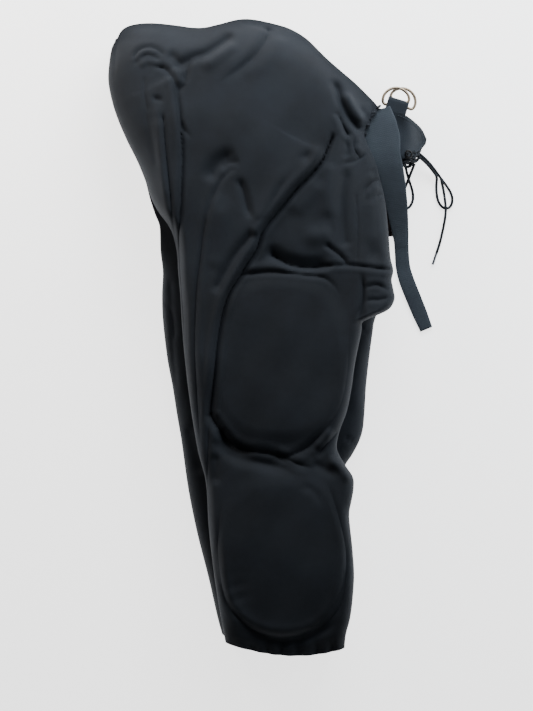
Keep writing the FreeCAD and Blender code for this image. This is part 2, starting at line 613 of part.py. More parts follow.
def cord_tube(label, points):
    """A plain round tube along a rounded route."""
    path, radius = rounded_route(label, points), size("lace_thick") / 2
    start, ahead = Vector(*points[0]), Vector(*points[1]) - Vector(*points[0])
    ring = Part.Wire(Part.makeCircle(radius, start, ahead))
    tube = path.makePipeShell([ring], True, True)
    share = tube.Volume / (math.pi * radius ** 2 * path.Length)
    print(label, "length", round(path.Length, 1), "volume share", round(share, 4))
    if abs(share - 1) > 0.01:
        raise RuntimeError(label + " has the wrong volume")
    made = doc.addObject("Part::Feature", label + "_tube")
    made.Shape = tube
    return keep(made, label)


def lace_tag(label, points):
    """The hard tag on a lace's end, in line with the lace's last run."""
    end = Vector(*points[-1])
    along = (end - Vector(*points[-2])).normalize()
    made = doc.addObject("Part::Cylinder", label + "_barrel")
    made.setExpression("Radius", cells("[tag_thick]/2"))
    made.setExpression("Height", cells("[tag_length]"))
    made.Placement = Placement(end, Rotation(Vector(0, 0, 1), along))
    return keep(made, label)


def gusset():
    """The web of cloth at the crotch, between the two leg openings."""
    grow = "[seat_thick]-0.5"
    slab("crotch_gusset", lambda made: box_outline(
        made, f"[crotch_left]+{grow}", f"[crotch_right]-({grow})", "[crotch_station]",
        "[crotch_station]+[gusset_length]"), "[gusset_low]", "[gusset_thick]")


def build():
    fill_sheet()
    seat_panel("right_seat_panel", True)
    seat_panel("left_seat_panel", False)
    gusset()
    for side in ("right", "left"):
        hip_pad(side)
        thigh_sleeve(side)
        knee_sleeve(side)
        hem_elastic(side)
        leg_pad(side, "thigh")
        leg_pad(side, "knee")
    tail_pad()
    waist_band("waist_belt", "0", "[belt_thick]", "[belt_foot]", "[belt_width]")
    waist_band("belt_tunnel", "[belt_thick]+[tunnel_gap]", "[tunnel_thick]", "[belt_foot]-4.5",
               "[tunnel_width]")
    strap("belt_front_strap", FRONT_STRAP)
    strap("belt_tail_strap", TAIL_STRAP)
    strap("ring_strap", RING_STRAP)
    ring_loop()
    d_ring("upper_d_ring", UPPER_RING_LEAN, size("ring_stack"), -0.8)
    d_ring("lower_d_ring", LOWER_RING_LEAN, -size("ring_stack"), 0.8)
    facing("left_fly_facing", LEFT_FACING, LEFT_EYELETS, LEFT_FACING_LOW)
    facing("right_fly_facing", RIGHT_FACING, RIGHT_EYELETS, RIGHT_FACING_LOW)
    slab("fly_tongue", lambda made: polygon(made, TONGUE), str(TONGUE_LOW), "[cloth_thick]")
    thick = size("facing_thick")
    eyelets("left_eyelets", LEFT_EYELETS, LEFT_FACING_LOW + thick)
    eyelets("right_eyelets", RIGHT_EYELETS, RIGHT_FACING_LOW + thick)
    cord_tube("lace_upper_rung", UPPER_RUNG)
    cord_tube("lace_lower_rung", LOWER_RUNG)
    cord_tube("lace_bow", BOW_END)
    cord_tube("lace_tail", TAIL_END)
    cord_tube("lace_short_end", SHORT_END)
    lace_tag("lace_tag", TAIL_END)


def check_and_write():
    doc.recompute()
    for thing in doc.Objects:
        if {"Invalid", "Error"} & set(thing.State):
            raise RuntimeError(f"{thing.Label} failed: {thing.State}")
    os.makedirs("parts", exist_ok=True)
    whole = FreeCAD.BoundBox()
    for thing in kept:
        if thing.Shape.isNull() or not thing.Shape.isValid():
            raise RuntimeError(f"{thing.Label} has no valid shape")
        thing.Shape.exportStep(f"parts/{thing.Label}.step")
        whole.add(thing.Shape.BoundBox)
    print(len(kept), "sub-parts", whole)


build()
check_and_write()
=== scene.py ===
"""Looks for the padded lace-up pants: knit shells with folds, pads, belt, rings, laces and stitching."""

import math

import bpy
import numpy as np
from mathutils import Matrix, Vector


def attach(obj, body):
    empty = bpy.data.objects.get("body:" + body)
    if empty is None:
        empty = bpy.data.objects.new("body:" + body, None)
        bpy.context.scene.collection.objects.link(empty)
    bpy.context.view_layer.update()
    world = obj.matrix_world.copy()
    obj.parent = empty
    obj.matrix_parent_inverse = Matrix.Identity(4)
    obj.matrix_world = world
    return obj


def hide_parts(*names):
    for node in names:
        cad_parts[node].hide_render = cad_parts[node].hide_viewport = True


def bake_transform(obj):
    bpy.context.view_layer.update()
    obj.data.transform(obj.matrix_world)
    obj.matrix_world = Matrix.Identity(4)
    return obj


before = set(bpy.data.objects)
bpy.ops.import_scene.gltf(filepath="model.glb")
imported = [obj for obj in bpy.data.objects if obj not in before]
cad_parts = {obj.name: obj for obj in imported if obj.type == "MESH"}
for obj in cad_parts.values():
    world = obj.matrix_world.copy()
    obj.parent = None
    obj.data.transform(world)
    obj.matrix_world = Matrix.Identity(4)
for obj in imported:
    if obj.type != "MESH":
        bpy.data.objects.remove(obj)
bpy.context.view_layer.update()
MM = 0.001

# ---------------------------------------------------------------- curves and profiles


def through(points, count=60):
    """A smooth run of points through given ones (Catmull-Rom)."""
    p = np.array(points, float)
    p = np.vstack([2 * p[0] - p[1], p, 2 * p[-1] - p[-2]])
    spans = len(p) - 3
    t = np.linspace(0, spans, count)
    i = np.minimum(t.astype(int), spans - 1)
    f = (t - i)[:, None]
    a, b, c, d = p[i], p[i + 1], p[i + 2], p[i + 3]
    bend, twist = 2 * a - 5 * b + 4 * c - d, 3 * b - a - 3 * c + d
    return 0.5 * (2 * b + (c - a) * f + bend * f ** 2 + twist * f ** 3)


def along_y(points):
    """A smooth function of y from (value, y) points listed from the waist down."""
    run = through(points, 50 * len(points))
    order = np.argsort(run[:, 1])
    return lambda y: np.interp(y, run[order, 1], run[order, 0])


def ease(a, b, x):
    t = np.clip((x - a) / (b - a), 0, 1)
    return t * t * (3 - 2 * t)


WAIST = through([(-176, 339), (-170, 350), (-158, 356), (-138, 357.5), (-109, 354.5), (-90, 351.5),
                 (-76, 351.5), (-60, 355.5), (-38, 361.5), (-20, 361.5), (6, 355.5), (24, 348.5), (44, 335),
                 (64, 314.5), (79, 301), (96, 287), (112, 273), (124, 262)], 300)


def waist_y(x):
    return np.interp(x, WAIST[:, 0], WAIST[:, 1])


SEAT_BACK = [(-176, 341), (-181, 328), (-184, 308), (-184.5, 290), (-180, 267), (-173, 246), (-163, 223),
             (-151.5, 200), (-142.5, 178)]
NEAR_BACK = along_y([(-176, 400), (-176, 370)] + SEAT_BACK + [
    (-137, 161), (-128, 143), (-114, 123), (-107, 100), (-104.5, 72), (-102, 46), (-98, -13), (-91, -74),
    (-82, -129), (-73, -165), (-70, -211), (-67, -242), (-61, -288), (-52, -340), (-47, -362)])
NEAR_FRONT = along_y([(124, 400), (124, 300), (123, 262), (112, 246), (106, 229), (117, 202), (124.5, 176),
                      (130, 150), (133.5, 115), (135.5, 90), (138.5, 75), (136.5, 64), (138.5, 52),
                      (139.5, 42), (133, 31), (114, 22), (103, 16), (101.5, 4), (95, -28), (90, -62),
                      (85, -86), (77, -108), (74, -128), (83, -146), (92, -160), (93, -172), (91, -185),
                      (88, -201), (89, -217), (91.5, -240), (93.5, -270), (92, -297), (89, -320), (84, -340),
                      (82, -362)])
FAR_BACK = along_y([(-176, 400), (-176, 370)] + SEAT_BACK + [
    (-137, 157), (-131, 139), (-126, 125), (-125.5, 98), (-123.5, 75), (-125, 48), (-124, 18), (-119, -25),
    (-113, -57), (-108, -89), (-102.5, -121), (-96, -168), (-90, -201), (-83, -233), (-71, -280),
    (-60, -328),
    (-50, -362)])
FAR_FRONT = along_y([(124, 400), (124, 300), (121, 262), (108, 246), (103, 229), (112, 200), (121, 170),
                     (127, 135), (131, 90), (130, 57), (126, 38), (119, 18), (117, 5), (113, -25),
                     (109.5, -57), (107.5, -89), (105.5, -108), (101, -122), (93, -137), (84, -152),
                     (76, -185), (78, -240), (82, -300), (78, -362)])
NEAR_TOP = along_y([(60, 400), (60, 362), (68, 340), (78, 305), (84, 260), (85, 215), (83, 150), (79, 95),
                    (77, 50), (76, 0), (75, -90), (72.5, -136), (74, -180), (75, -250), (72, -320),
                    (66, -362)])


def hem_lift(x):
    """How far the hem's edge rises from its lowest point."""
    return 10.5 * ((x - 27) / 62) ** 2


class Fold:
    """A crease, swelling or step that runs along listed points on the cloth, seen from above."""

    def __init__(self, kind, height, width, points, reach=20.0, start=0.12, end=0.12):
        self.kind, self.height, self.width, self.reach = kind, height, width, reach
        self.line = through(points, max(24, 9 * len(points)))
        length = np.linalg.norm(np.diff(self.line, axis=0), axis=1).sum()
        soft = min(0.45, 1.7 * width / length)
        self.start, self.end = (max(share, soft) if share else 0 for share in (start, end))

    def add_to(self, x, y, z):
        margin = 4 * max(self.width, self.reach if self.kind == "step" else 0)
        low, high = self.line.min(0) - margin, self.line.max(0) + margin
        near = np.nonzero((x > low[0]) & (x < high[0]) & (y > low[1]) & (y < high[1]))[0]
        if not len(near):
            return
        p = np.stack([x[near], y[near]], 1)
        a, run = self.line[:-1], np.diff(self.line, axis=0)
        rel = p[:, None] - a[None]
        t = np.clip((rel * run).sum(2) / (run ** 2).sum(1), 0, 1)
        gap = rel - t[..., None] * run
        best = (gap ** 2).sum(2).argmin(1)
        rows = np.arange(len(p))
        away = np.sqrt((gap[rows, best] ** 2).sum(1))
        side = np.sign(run[best, 0] * rel[rows, best, 1] - run[best, 1] * rel[rows, best, 0])
        place = (best + t[rows, best]) / len(run)
        fade = 1.0
        if self.start:
            fade = fade * ease(0, self.start, place)
        if self.end:
            fade = fade * ease(0, self.end, 1 - place)
        if self.kind == "valley":
            banks = np.exp(-((away - 3 * self.width) / (1.4 * self.width)) ** 2)
            lift = -np.exp(-away / self.width) + 0.16 * banks
        elif self.kind == "hollow":
            lift = -np.exp(-(away / self.width) ** 2)
        elif self.kind == "roll":
            lift = np.exp(-(away / self.width) ** 2)
        else:
            signed = away * side
            lift = np.exp(-np.maximum(signed, 0) / self.reach) / (1 + np.exp(-signed / self.width * 2.2))
        z[near] += self.height * fade * lift


NEAR_FOLDS = [
    # the back: the deep crease beside the tail pad and what runs down from it
    Fold("valley", 5.5, 2.0, [(-134, 303.5), (-122, 301.5), (-113, 294.5), (-108, 282), (-106, 268),
                              (-103, 247), (-101, 222), (-100.5, 190), (-101.5, 148), (-103, 108),
                              (-101.5, 72), (-98, 20), (-95, -30)], start=0.08),
    Fold("step", 7, 1.8, [(-103, 100), (-101.5, 148), (-100.5, 199), (-102, 233), (-106, 268), (-108, 284),
                          (-113, 295)], 20, start=0.3, end=0.12),
    Fold("valley", 5, 2.2, [(-105, 268), (-100, 280), (-95, 294), (-93, 306), (-89, 314)], start=0.25,
         end=0.3),
    Fold("hollow", 6.5, 5.5, [(-105, 300), (-96, 309), (-86, 314), (-74, 318), (-63, 325), (-52, 334),
                              (-42, 343)]),
    Fold("hollow", 4.5, 5, [(-118, 318), (-110, 314), (-104, 305), (-101, 295)], end=0.3),
    Fold("roll", 4, 5, [(-112, 302), (-107, 294), (-101, 285), (-97, 291)]),
    Fold("roll", 3.5, 7, [(-80, 300), (-64, 309), (-50, 320), (-36, 330)]),
    Fold("valley", 2.6, 1.6, [(-101, 240), (-95, 228), (-89, 221)], start=0.1, end=0.5),
    Fold("valley", 4.2, 1.7, [(-121, 250), (-119.5, 225), (-117, 195), (-113.5, 160), (-110, 130),
                              (-106, 104)], start=0.06),
    Fold("step", 3, 1.8, [(-108, 118), (-111, 140), (-115.5, 180), (-119, 220), (-121, 245)], 12),
    Fold("roll", 2.5, 5, [(-128, 262), (-126, 225), (-122, 185), (-117, 150)]),
    Fold("valley", 3.2, 2.0, [(-155, 312), (-151, 320), (-144, 325), (-135, 325.5), (-126, 321),
                              (-119, 314)]),
    Fold("valley", 2.6, 2.0, [(-154, 304), (-149, 312), (-141, 316.5), (-132, 315), (-124, 308)]),
    Fold("roll", 2.0, 2.6, [(-152, 308), (-146, 318), (-137, 321), (-128, 317)]),
    Fold("roll", 2.0, 3, [(-147, 302), (-140, 308.5), (-131, 308), (-122, 304)]),
    Fold("hollow", 1.6, 4, [(-143, 280), (-140, 250), (-132, 215), (-126, 185)]),
    Fold("hollow", 3.5, 3, [(-133, 263), (-127, 265.5), (-120, 261)], start=0.2, end=0.3),
    Fold("valley", 1.6, 1.6, [(-142, 292), (-141, 270), (-137, 250)]),
    # the hip: one soft break from the waist, and the dimple below it
    Fold("valley", 4.5, 3.2, [(-2, 352), (-6, 338), (-12, 327), (-22, 313), (-35, 301), (-50, 289),
                              (-65, 277)], start=0.04, end=0.4),
    Fold("step", 4.5, 3.5, [(-65, 275), (-42, 294), (-27, 309), (-13, 326), (-7, 338), (-3, 350)], 16,
         start=0.3),
    Fold("roll", 2.5, 8, [(12, 343), (4, 322), (-10, 303), (-30, 287)], end=0.3),
    Fold("hollow", 6, 8, [(-70, 170), (-65, 186), (-54, 198), (-36, 204)]),
    Fold("hollow", 3, 3.5, [(-56, 186), (-46, 193), (-34, 195)]),
    Fold("valley", 4, 2.0, [(-37, 190), (-50, 181), (-61, 165), (-67, 148), (-72, 130), (-76, 110),
                            (-79, 85), (-82.5, 59), (-84.5, 21), (-85, -13), (-82.5, -74), (-78, -129)],
         start=0.06),
    Fold("step", 3.2, 2.4, [(-61, 165), (-67, 148), (-72, 130), (-76, 110), (-79, 85), (-82.5, 59),
                            (-84.5, 21), (-85, -13), (-82.5, -60)], 14),
    Fold("hollow", 5, 4.2, [(-38, 178), (-32, 166), (-28, 152), (-24, 138), (-18, 128)], start=0.2,
         end=0.35),
    Fold("valley", 3.2, 2.6, [(-22, 125), (-10, 132), (-1, 146), (6, 160), (16, 176), (28, 190)], start=0.2,
         end=0.4),
    Fold("step", 3.0, 3, [(-24, 124), (-8, 134), (3, 155), (16, 176), (30, 192)], 12, start=0.2, end=0.35),
    Fold("roll", 2, 9, [(-55, 150), (-58, 110), (-62, 70)]),
    # the long crease from the front of the waist to the back of the thigh pad
    Fold("valley", 9, 2.4, [(71, 230), (65, 214), (57, 197), (44, 181), (29, 166), (16, 151), (3.6, 136),
                            (-10, 118), (-17, 98), (-27, 82), (-38, 64), (-48.5, 46), (-56, 21), (-61, -8),
                            (-64, -40), (-67, -72), (-69, -95)], start=0.04, end=0.03),
    Fold("step", 7.5, 2.2, [(-69, -95), (-64, -40), (-56, 21), (-48.5, 46), (-38, 64), (-27, 82), (-17, 98),
                            (-10, 118), (3.6, 136), (29, 166), (57, 197), (65, 214)], 22),
    Fold("hollow", 5, 5.5, [(-17, 118), (-26, 108), (-37, 95), (-47, 80), (-55, 64), (-64, 46)]),
    Fold("hollow", 3.5, 7, [(48, 196), (40, 200), (34, 206)]),
    Fold("roll", 3, 9, [(20, 135), (40, 155), (58, 175)]),
    # above the thigh pad
    Fold("hollow", 6.5, 7, [(-8, 98), (6, 91), (20, 84), (38, 80), (56, 81), (70, 82)], end=0.25),
    Fold("valley", 5.5, 2.0, [(-4, 93), (9, 86.5), (22, 79), (42, 76), (60, 78), (74, 79.5)], end=0.15),
    Fold("valley", 4.0, 1.7, [(64, 79), (85, 79.5), (100, 78.5), (120, 76), (137, 74.5)], start=0.2, end=0),
    Fold("valley", 3.4, 1.7, [(-39, 64.5), (-27, 69), (-4, 71.5), (21, 70.5), (42, 68), (60, 65), (72, 55),
                              (80, 42)], end=0.4),
    Fold("roll", 2.2, 4.0, [(-30, 75), (-8, 79), (12, 77), (30, 73.0), (50, 72)]),
    Fold("valley", 4.5, 1.9, [(60, 104), (68, 98), (78, 90), (87, 80)]),
    Fold("roll", 4, 10, [(30, 112), (55, 112), (72, 118)]),
    Fold("hollow", 3.5, 5.5, [(86, 190), (80.5, 165), (80, 140), (82, 115), (85, 98)]),
    Fold("roll", 2.4, 7, [(66, 196), (63, 165), (64, 130)]),
    Fold("valley", 1.2, 1.2, [(95.5, 160), (97.5, 123), (96.5, 84)], start=0.05, end=0.02),
    Fold("roll", 2, 8, [(112, 160), (114, 130), (114, 100)]),
    Fold("hollow", 2.5, 8, [(104, 92), (116, 92), (128, 96)]),
    # gathers by the tunnel's mouth
    Fold("hollow", 8, 5, [(66, 288), (74, 279), (79, 262), (84, 250), (93, 240), (103, 231)], start=0.2),
    Fold("valley", 6, 2.2, [(72, 253), (78, 243), (83, 232), (88, 224)]),
    Fold("roll", 5, 5, [(82, 276), (90, 262), (98, 250), (106, 240)]),
    Fold("valley", 3.0, 1.7, [(110, 210), (101, 202), (92, 197), (82, 194), (72, 186)], start=0.2, end=0.35),
    Fold("valley", 2.6, 1.8, [(94, 226), (93, 214), (97, 205), (104, 200)], start=0.3, end=0.4),
    Fold("hollow", 2.6, 3.5, [(84, 222), (86, 208), (80, 198)], start=0.3, end=0.4),
    Fold("roll", 2.0, 4.5, [(104, 214), (97, 210), (88, 208)], start=0.3, end=0.4),
    Fold("valley", 4, 2.4, [(126, 178), (119, 177), (112, 172), (106.5, 164), (103.5, 154)], start=0.15,
         end=0.4),
    Fold("roll", 2.4, 4, [(124, 169), (117, 168), (111, 161), (109, 152)], start=0.2, end=0.4),
    Fold("valley", 2.2, 1.5, [(128, 161), (122, 160), (117, 155)], start=0.2, end=0.4),
    Fold("hollow", 2.2, 5, [(110, 192), (116, 186), (122, 184)], start=0.3, end=0.3),
    Fold("hollow", 3, 3.5, [(100, 262), (106, 252), (112, 245)]),
    # the bulge under the fly: a crescent break over a rounded roll, and a softer one below it
    Fold("valley", 3.4, 1.7, [(106, 51), (111, 56), (119, 57.5), (127, 54.5), (134, 50)], start=0.3,
         end=0.4),
    Fold("valley", 3.0, 1.7, [(105, 37), (112, 40.5), (121, 40.5), (130, 42.5), (138, 46)], start=0.3,
         end=0.4),
    Fold("hollow", 5, 3.2, [(101, 74), (103.5, 58), (103.5, 40), (101, 26), (98, 12)], start=0.3, end=0.3),
    # the thigh pad's outline and the break at the knee
    Fold("valley", 1.1, 2.2, [(88, 20), (87, -15), (84, -50), (75, -84), (57, -111), (38, -124)], start=0.3,
         end=0.4),
    Fold("valley", 6.5, 3.0, [(-69, -86), (-66, -93), (-57, -106), (-45, -121), (-38, -127)], start=0.05,
         end=0.3),
    Fold("valley", 4.5, 3.2, [(-47, -117), (-33, -128), (-14, -131), (2, -134), (16, -142), (30, -150)],
         start=0.2, end=0.4),
    Fold("hollow", 6, 7, [(-62, -112), (-50, -129), (-34, -138), (-12, -143), (10, -148), (34, -158)],
         end=0.3),
    Fold("hollow", 5.5, 5, [(-60, -104), (-49, -120), (-34, -129), (-16, -132)], end=0.4),
    Fold("valley", 3.5, 2.6, [(8, -137), (24, -134), (40, -126), (54, -113), (66, -97)], start=0.25,
         end=0.5),
    Fold("valley", 3.2, 2.6, [(2, -133), (18, -139), (34, -146), (52, -150)], end=0.4),
    Fold("valley", 3.5, 2.4, [(78, -104), (68, -116), (57, -129), (52, -140)], start=0.2, end=0.4),
    Fold("roll", 2.5, 5, [(50, -128), (60, -116), (70, -104)]),
    Fold("hollow", 2.5, 6, [(44, -143), (60, -150), (76, -160)], end=0.4),
    Fold("roll", 4, 6, [(62, -142), (73, -143), (84, -152), (88, -166)]),
    Fold("valley", 3, 2.0, [(-70, -92), (-71, -135), (-71, -165), (-69, -211), (-66, -242), (-60, -288)],
         end=0.3),
    Fold("hollow", 3, 6, [(-62, -130), (-64, -150), (-62, -170)]),
    # the knee pad's outline, and the dip below its foot
    Fold("valley", 1.7, 2.0, [(60, -160), (68, -178), (78, -211), (83.5, -242), (84, -268), (78, -303),
                              (62, -323), (40, -335), (12, -339), (-14, -334), (-34, -321), (-49, -302),
                              (-56, -272), (-59, -240), (-58, -205), (-54, -184)], start=0.1, end=0.1),
    Fold("hollow", 3.6, 5, [(-42, -318), (-20, -336), (10, -345), (40, -341), (62, -330), (76, -314)],
         start=0.3, end=0.3),
    Fold("roll", 1.0, 5, [(-47, -190), (-50, -230), (-48, -280), (-34, -309), (-10, -326), (20, -330),
                          (48, -323), (68, -302), (75, -270), (75, -235)], start=0.2, end=0.2),
    Fold("hollow", 1.6, 5, [(30, -168), (48, -175), (60, -195)], start=0.3, end=0.4),
]


# heights of the widest line of the near leg, of the far leg, and of the folded seat that joins them
NEAR_MIDDLE, FAR_MIDDLE, SEAT_MIDDLE = 57.5, 18.5, 47.0
HEM_START, HEM_END = -336, -358


def blob(x, y, middle, half, power=2.6):
    """1 inside a rounded box in plan and 0 outside it, with a soft edge."""
    aside, along = np.abs((x - middle[0]) / half[0]), np.abs((y - middle[1]) / half[1])
    far = (aside ** power + along ** power) ** (1 / power)
    return 1 - ease(0.84, 1.1, far)


def rounded(z, middle, sides):
    """Bends heights over to the widest line at each side, given as (distance inside it, radius)."""
    for gap, radius in sides:
        share = np.clip(gap / radius, 0, 1)
        z = middle + (z - middle) * np.sqrt(np.clip(1 - (1 - share) ** 2, 0, 1))
    return z


def near_height(x, y):
    """The height of the upper side of the near half, above any point inside its outline."""
    x, y = np.asarray(x, float), np.asarray(y, float)
    left, right = x - NEAR_BACK(y), NEAR_FRONT(y) - x
    top = NEAR_TOP(y)
    seat = ease(20, 110, y)
    middle = NEAR_MIDDLE + (SEAT_MIDDLE - NEAR_MIDDLE) * seat
    z = top.copy()
    # crowns over the pads, and the drape towards the front of the seat
    z += 3.5 * np.exp(-(((x + 5) / 70) ** 2 + ((y - 235) / 75) ** 2))
    z += 4.0 * blob(x, y, (9, -26), (78, 93)) * (1 - 0.25 * ((x - 9) / 80) ** 2)
    z += 3.0 * blob(x, y, (12, -248), (73, 91)) * (1 - 0.3 * ((x - 12) / 75) ** 2)
    z -= 1.2 * np.exp(-((1 - np.hypot((x - 12) / 73, (y + 248) / 91)) / 0.035) ** 2) * ease(-200, -260, y)
    z -= 24 * ease(50, 136, x) * ease(60, 200, y) * (1 - ease(250, 330, y))
    z -= 9 * ease(70, 142, x) * ease(10, 60, y)
    z -= 7 * ease(-108, -180, x) * seat
    # broad, slow unevenness of soft cloth
    z += 0.9 * np.sin(x / 19 + y / 37) * np.cos(y / 23 - x / 41) + 0.35 * np.sin(x / 8.5 - y / 13)
    for fold in NEAR_FOLDS:
        fold.add_to(x, y, z)
    # small wrinkles: across the leg under the knee, and gathers at the hem
    under_knee = np.exp(-(((x + 40) / 14) ** 2 + ((y + 290) / 22) ** 2))
    z += 0.35 * np.sin(y / 2.6 + np.sin(x / 14) * 2) * under_knee
    hem = ease(HEM_START, HEM_END, y)
    z += hem * 1.3 * np.sin(x / 2.9 + 0.8 * np.sin(x / 11))
    z -= hem * 4
    lip = waist_y(x) - y
    z -= 16 * (1 - ease(-6, 60, lip)) ** 2
    round_left = 15 + 24 * ease(120, 260, y)
    round_right = 12 + 14 * ease(240, 330, y)
    return rounded(z, middle, ((left, round_left), (right, round_right)))


def near_floor(x, y):
    """The height of the near leg's under side; it flattens into a web where the seat begins."""
    seat = ease(20, 110, y)
    middle = NEAR_MIDDLE + (SEAT_MIDDLE - NEAR_MIDDLE) * seat
    low = 39.6 + 7.4 * seat
    z = np.full_like(x, 1.0) * low + 0.5 * (1 - seat) * (1 + np.sin(x / 15 + y / 31))
    return rounded(z, middle, ((x - NEAR_BACK(y), 13), (NEAR_FRONT(y) - x, 13)))


def far_height(x, y):
    """The inner, upper side of the far leg."""
    seat = ease(40, 130, y)
    middle = FAR_MIDDLE + (SEAT_MIDDLE - FAR_MIDDLE) * seat
    top = 36.6 + 9.4 * seat - 1.5 * ease(-330, -362, y) - 1.2 * ease(-200, -120, y) * (1 - seat)
    z = top + 0.5 * np.sin(x / 12 + y / 27) + 0.3 * np.sin(y / 9 - x / 16)
    for fold in FAR_FOLDS:
        fold.add_to(x, y, z)
    return rounded(z, middle, ((x - FAR_BACK(y), 15.0), (FAR_FRONT(y) - x, 17.0)))


def far_floor(x, y):
    """The outer side of the far half, which lies on the floor."""
    seat = ease(40, 130, y)
    middle = FAR_MIDDLE + (SEAT_MIDDLE - FAR_MIDDLE) * seat
    z = 0.9 + 1.0 * (1 + np.sin(x / 17 + y / 29)) * (0.35 + 0.65 * seat)
    z += 6 * (1 - ease(0, 30, waist_y(x) - y))
    z += ease(HEM_START, HEM_END, y) * (2.4 + 1.2 * np.sin(x / 2.9 + 0.8 * np.sin(x / 11)))
    round_left = 15 + 24 * ease(120, 260, y)
    round_right = 17 + 18 * ease(150, 260, y)
    return rounded(z, middle, ((x - FAR_BACK(y), round_left), (FAR_FRONT(y) - x, round_right)))


FAR_FOLDS = [
    Fold("valley", 2.5, 2.0, [(-124, 40), (-116, 30), (-112, 15), (-110, -5)]),
    Fold("hollow", 2.5, 4, [(-116, 70), (-114, 30), (-112, -20), (-108, -70)]),
    Fold("valley", 2.2, 1.8, [(104, 12), (107, 6), (114, 8)]),
    Fold("roll", 2, 9, [(104, -10), (100, -50), (98, -90)]),
    Fold("valley", 2.5, 2.0, [(99, -126), (92, -120), (84, -116)]),
    Fold("hollow", 3, 6, [(-96, -100), (-88, -130), (-80, -160)]),
]

# ---------------------------------------------------------------- mesh helpers


def mesh_object(name, points, faces, uv=None, normals=None, smooth=True):
    """A mesh given in millimetres and made in metres, at the origin; uv is one pair for each point."""
    mesh = bpy.data.meshes.new(name)
    mesh.from_pydata((np.asarray(points) * MM).tolist(), [], faces)
    mesh.update()
    if uv is not None:
        layer = mesh.uv_layers.new(name="cloth")
        corner = np.empty(len(mesh.loops), np.int32)
        mesh.loops.foreach_get("vertex_index", corner)
        layer.data.foreach_set("uv", (np.asarray(uv)[corner] * MM).astype(np.float32).ravel())
    mesh.polygons.foreach_set("use_smooth", [smooth] * len(mesh.polygons))
    if normals is not None:
        mesh.normals_split_custom_set_from_vertices(np.asarray(normals).tolist())
    made = bpy.data.objects.new(name, mesh)
    bpy.context.scene.collection.objects.link(made)
    return made


def grid_faces(rows, columns, closed=False, keep=None):
    """Quads of a grid of points, row by row; keep(row, column) leaves some out."""
    faces = []
    for j in range(rows - 1):
        for i in range(columns if closed else columns - 1):
            if keep is None or keep(j, i):
                n = (i + 1) % columns
                faces.append((j * columns + i, j * columns + n, (j + 1) * columns + n,
                              (j + 1) * columns + i))
    return faces


def vertex_normals(points, faces):
    quads = np.array(faces)
    p = points[quads]
    across = np.cross(p[:, 2] - p[:, 0], p[:, 3] - p[:, 1])
    total = np.zeros_like(points)
    for corner in range(4):
        np.add.at(total, quads[:, corner], across)
    return total / np.maximum(np.linalg.norm(total, axis=1), 1e-9)[:, None]


def turned_out(points, faces, quads, corner, outward):
    """The faces, all turned round if the normal at one corner points the other way from outward."""
    if (vertex_normals(points, quads)[corner] * outward).sum() < 0:
        return [face[::-1] for face in faces]
    return faces


# points across each half's upper and under side, and the steps between its rows
COLUMNS = {"near": (168, 44), "far": (60, 110)}
ROW_STEP = {"near": 2.0, "far": 3.0}
# the row where a shell is parted at the knee, and the height up to which the legs' inner sides reach
KNEE_CUT, WEB_TOP = -96.0, {"near": 105.0, "far": 172.0}
HEM_FOOT = -362
CLOTH = 1.1


def side_spread(count):
    """Steps from 0 to 1, closer together near both ends."""
    t = np.linspace(0, 1, count)
    return t - 0.11 * np.sin(2 * np.pi * t)


def garment_half(which):
    """One half of the pants as rows of points: half of the seat, opening into a leg, and which are outer."""
    near = which == "near"
    back, front = (NEAR_BACK, NEAR_FRONT) if near else (FAR_BACK, FAR_FRONT)
    outer, inner = (near_height, near_floor) if near else (far_floor, far_height)
    levels = np.arange(300, HEM_FOOT - 0.01, -ROW_STEP[which])
    top_count, under_count = COLUMNS[which]
    u = np.concatenate([side_spread(top_count), side_spread(under_count)[::-1][1:-1]])
    is_outer = np.arange(len(u)) < top_count
    start_x = -176 + (124 + 176) * u
    rows = []
    for level in levels:
        pull = 1 - ease(300, 60, level)
        y = level + (waist_y(start_x) - 300) * pull
        y = y + hem_lift(back(level) + (front(level) - back(level)) * u) * ease(-310, HEM_FOOT, level)
        x = back(y) + (front(y) - back(y)) * u
        z = np.where(is_outer, outer(x, y), inner(x, y))
        rows.append(np.stack([x, y, z], 1))
    return np.array(rows), is_outer, levels


def build_half(which):
    """The surface of one half: above the crotch only its outer side is kept, so the seat is one hollow."""
    grid, is_outer, levels = garment_half(which)
    rows, columns = grid.shape[:2]
    if which == "far":
        grid = grid[:, ::-1]
        is_outer = is_outer[::-1]
    points = grid.reshape(-1, 3)
    web = WEB_TOP[which]

    def kept(j, i):
        return (is_outer[i] and is_outer[(i + 1) % columns]) or grid[j, i, 1] < web

    faces = grid_faces(rows, columns, True, kept)
    normals = vertex_normals(points, faces)
    steps = np.linalg.norm(np.diff(grid, axis=1, append=grid[:, :1]), axis=2)
    around = np.concatenate([[0], np.cumsum(steps[rows // 2])[:-1]])
    uv = np.stack([np.broadcast_to(around, (rows, columns)), grid[:, :, 1]], 2).reshape(-1, 2)
    return grid, points, faces, normals, uv, levels


def thick_cloth(name, points, faces, normals, uv, thick=CLOTH):
    """Turns a cloth surface into a thin shell: outer and inner faces, and a rim along each open edge."""
    used = np.unique(np.array(faces))
    place = -np.ones(len(points), int)
    place[used] = np.arange(len(used))
    outer = points[used]
    away = normals[used]
    count = len(used)
    quads = place[np.array(faces)]
    inner = outer - away * thick
    edges = dict.fromkeys((quad[k], quad[(k + 1) % 4]) for quad in quads.tolist() for k in range(4))
    rim = [(a, a + count, b + count, b) for a, b in edges if (b, a) not in edges]
    every = quads.tolist() + (quads[:, ::-1] + count).tolist() + rim
    return mesh_object(name, np.vstack([outer, inner]), every, np.vstack([uv[used], uv[used]]),
                       np.vstack([away, -away]))


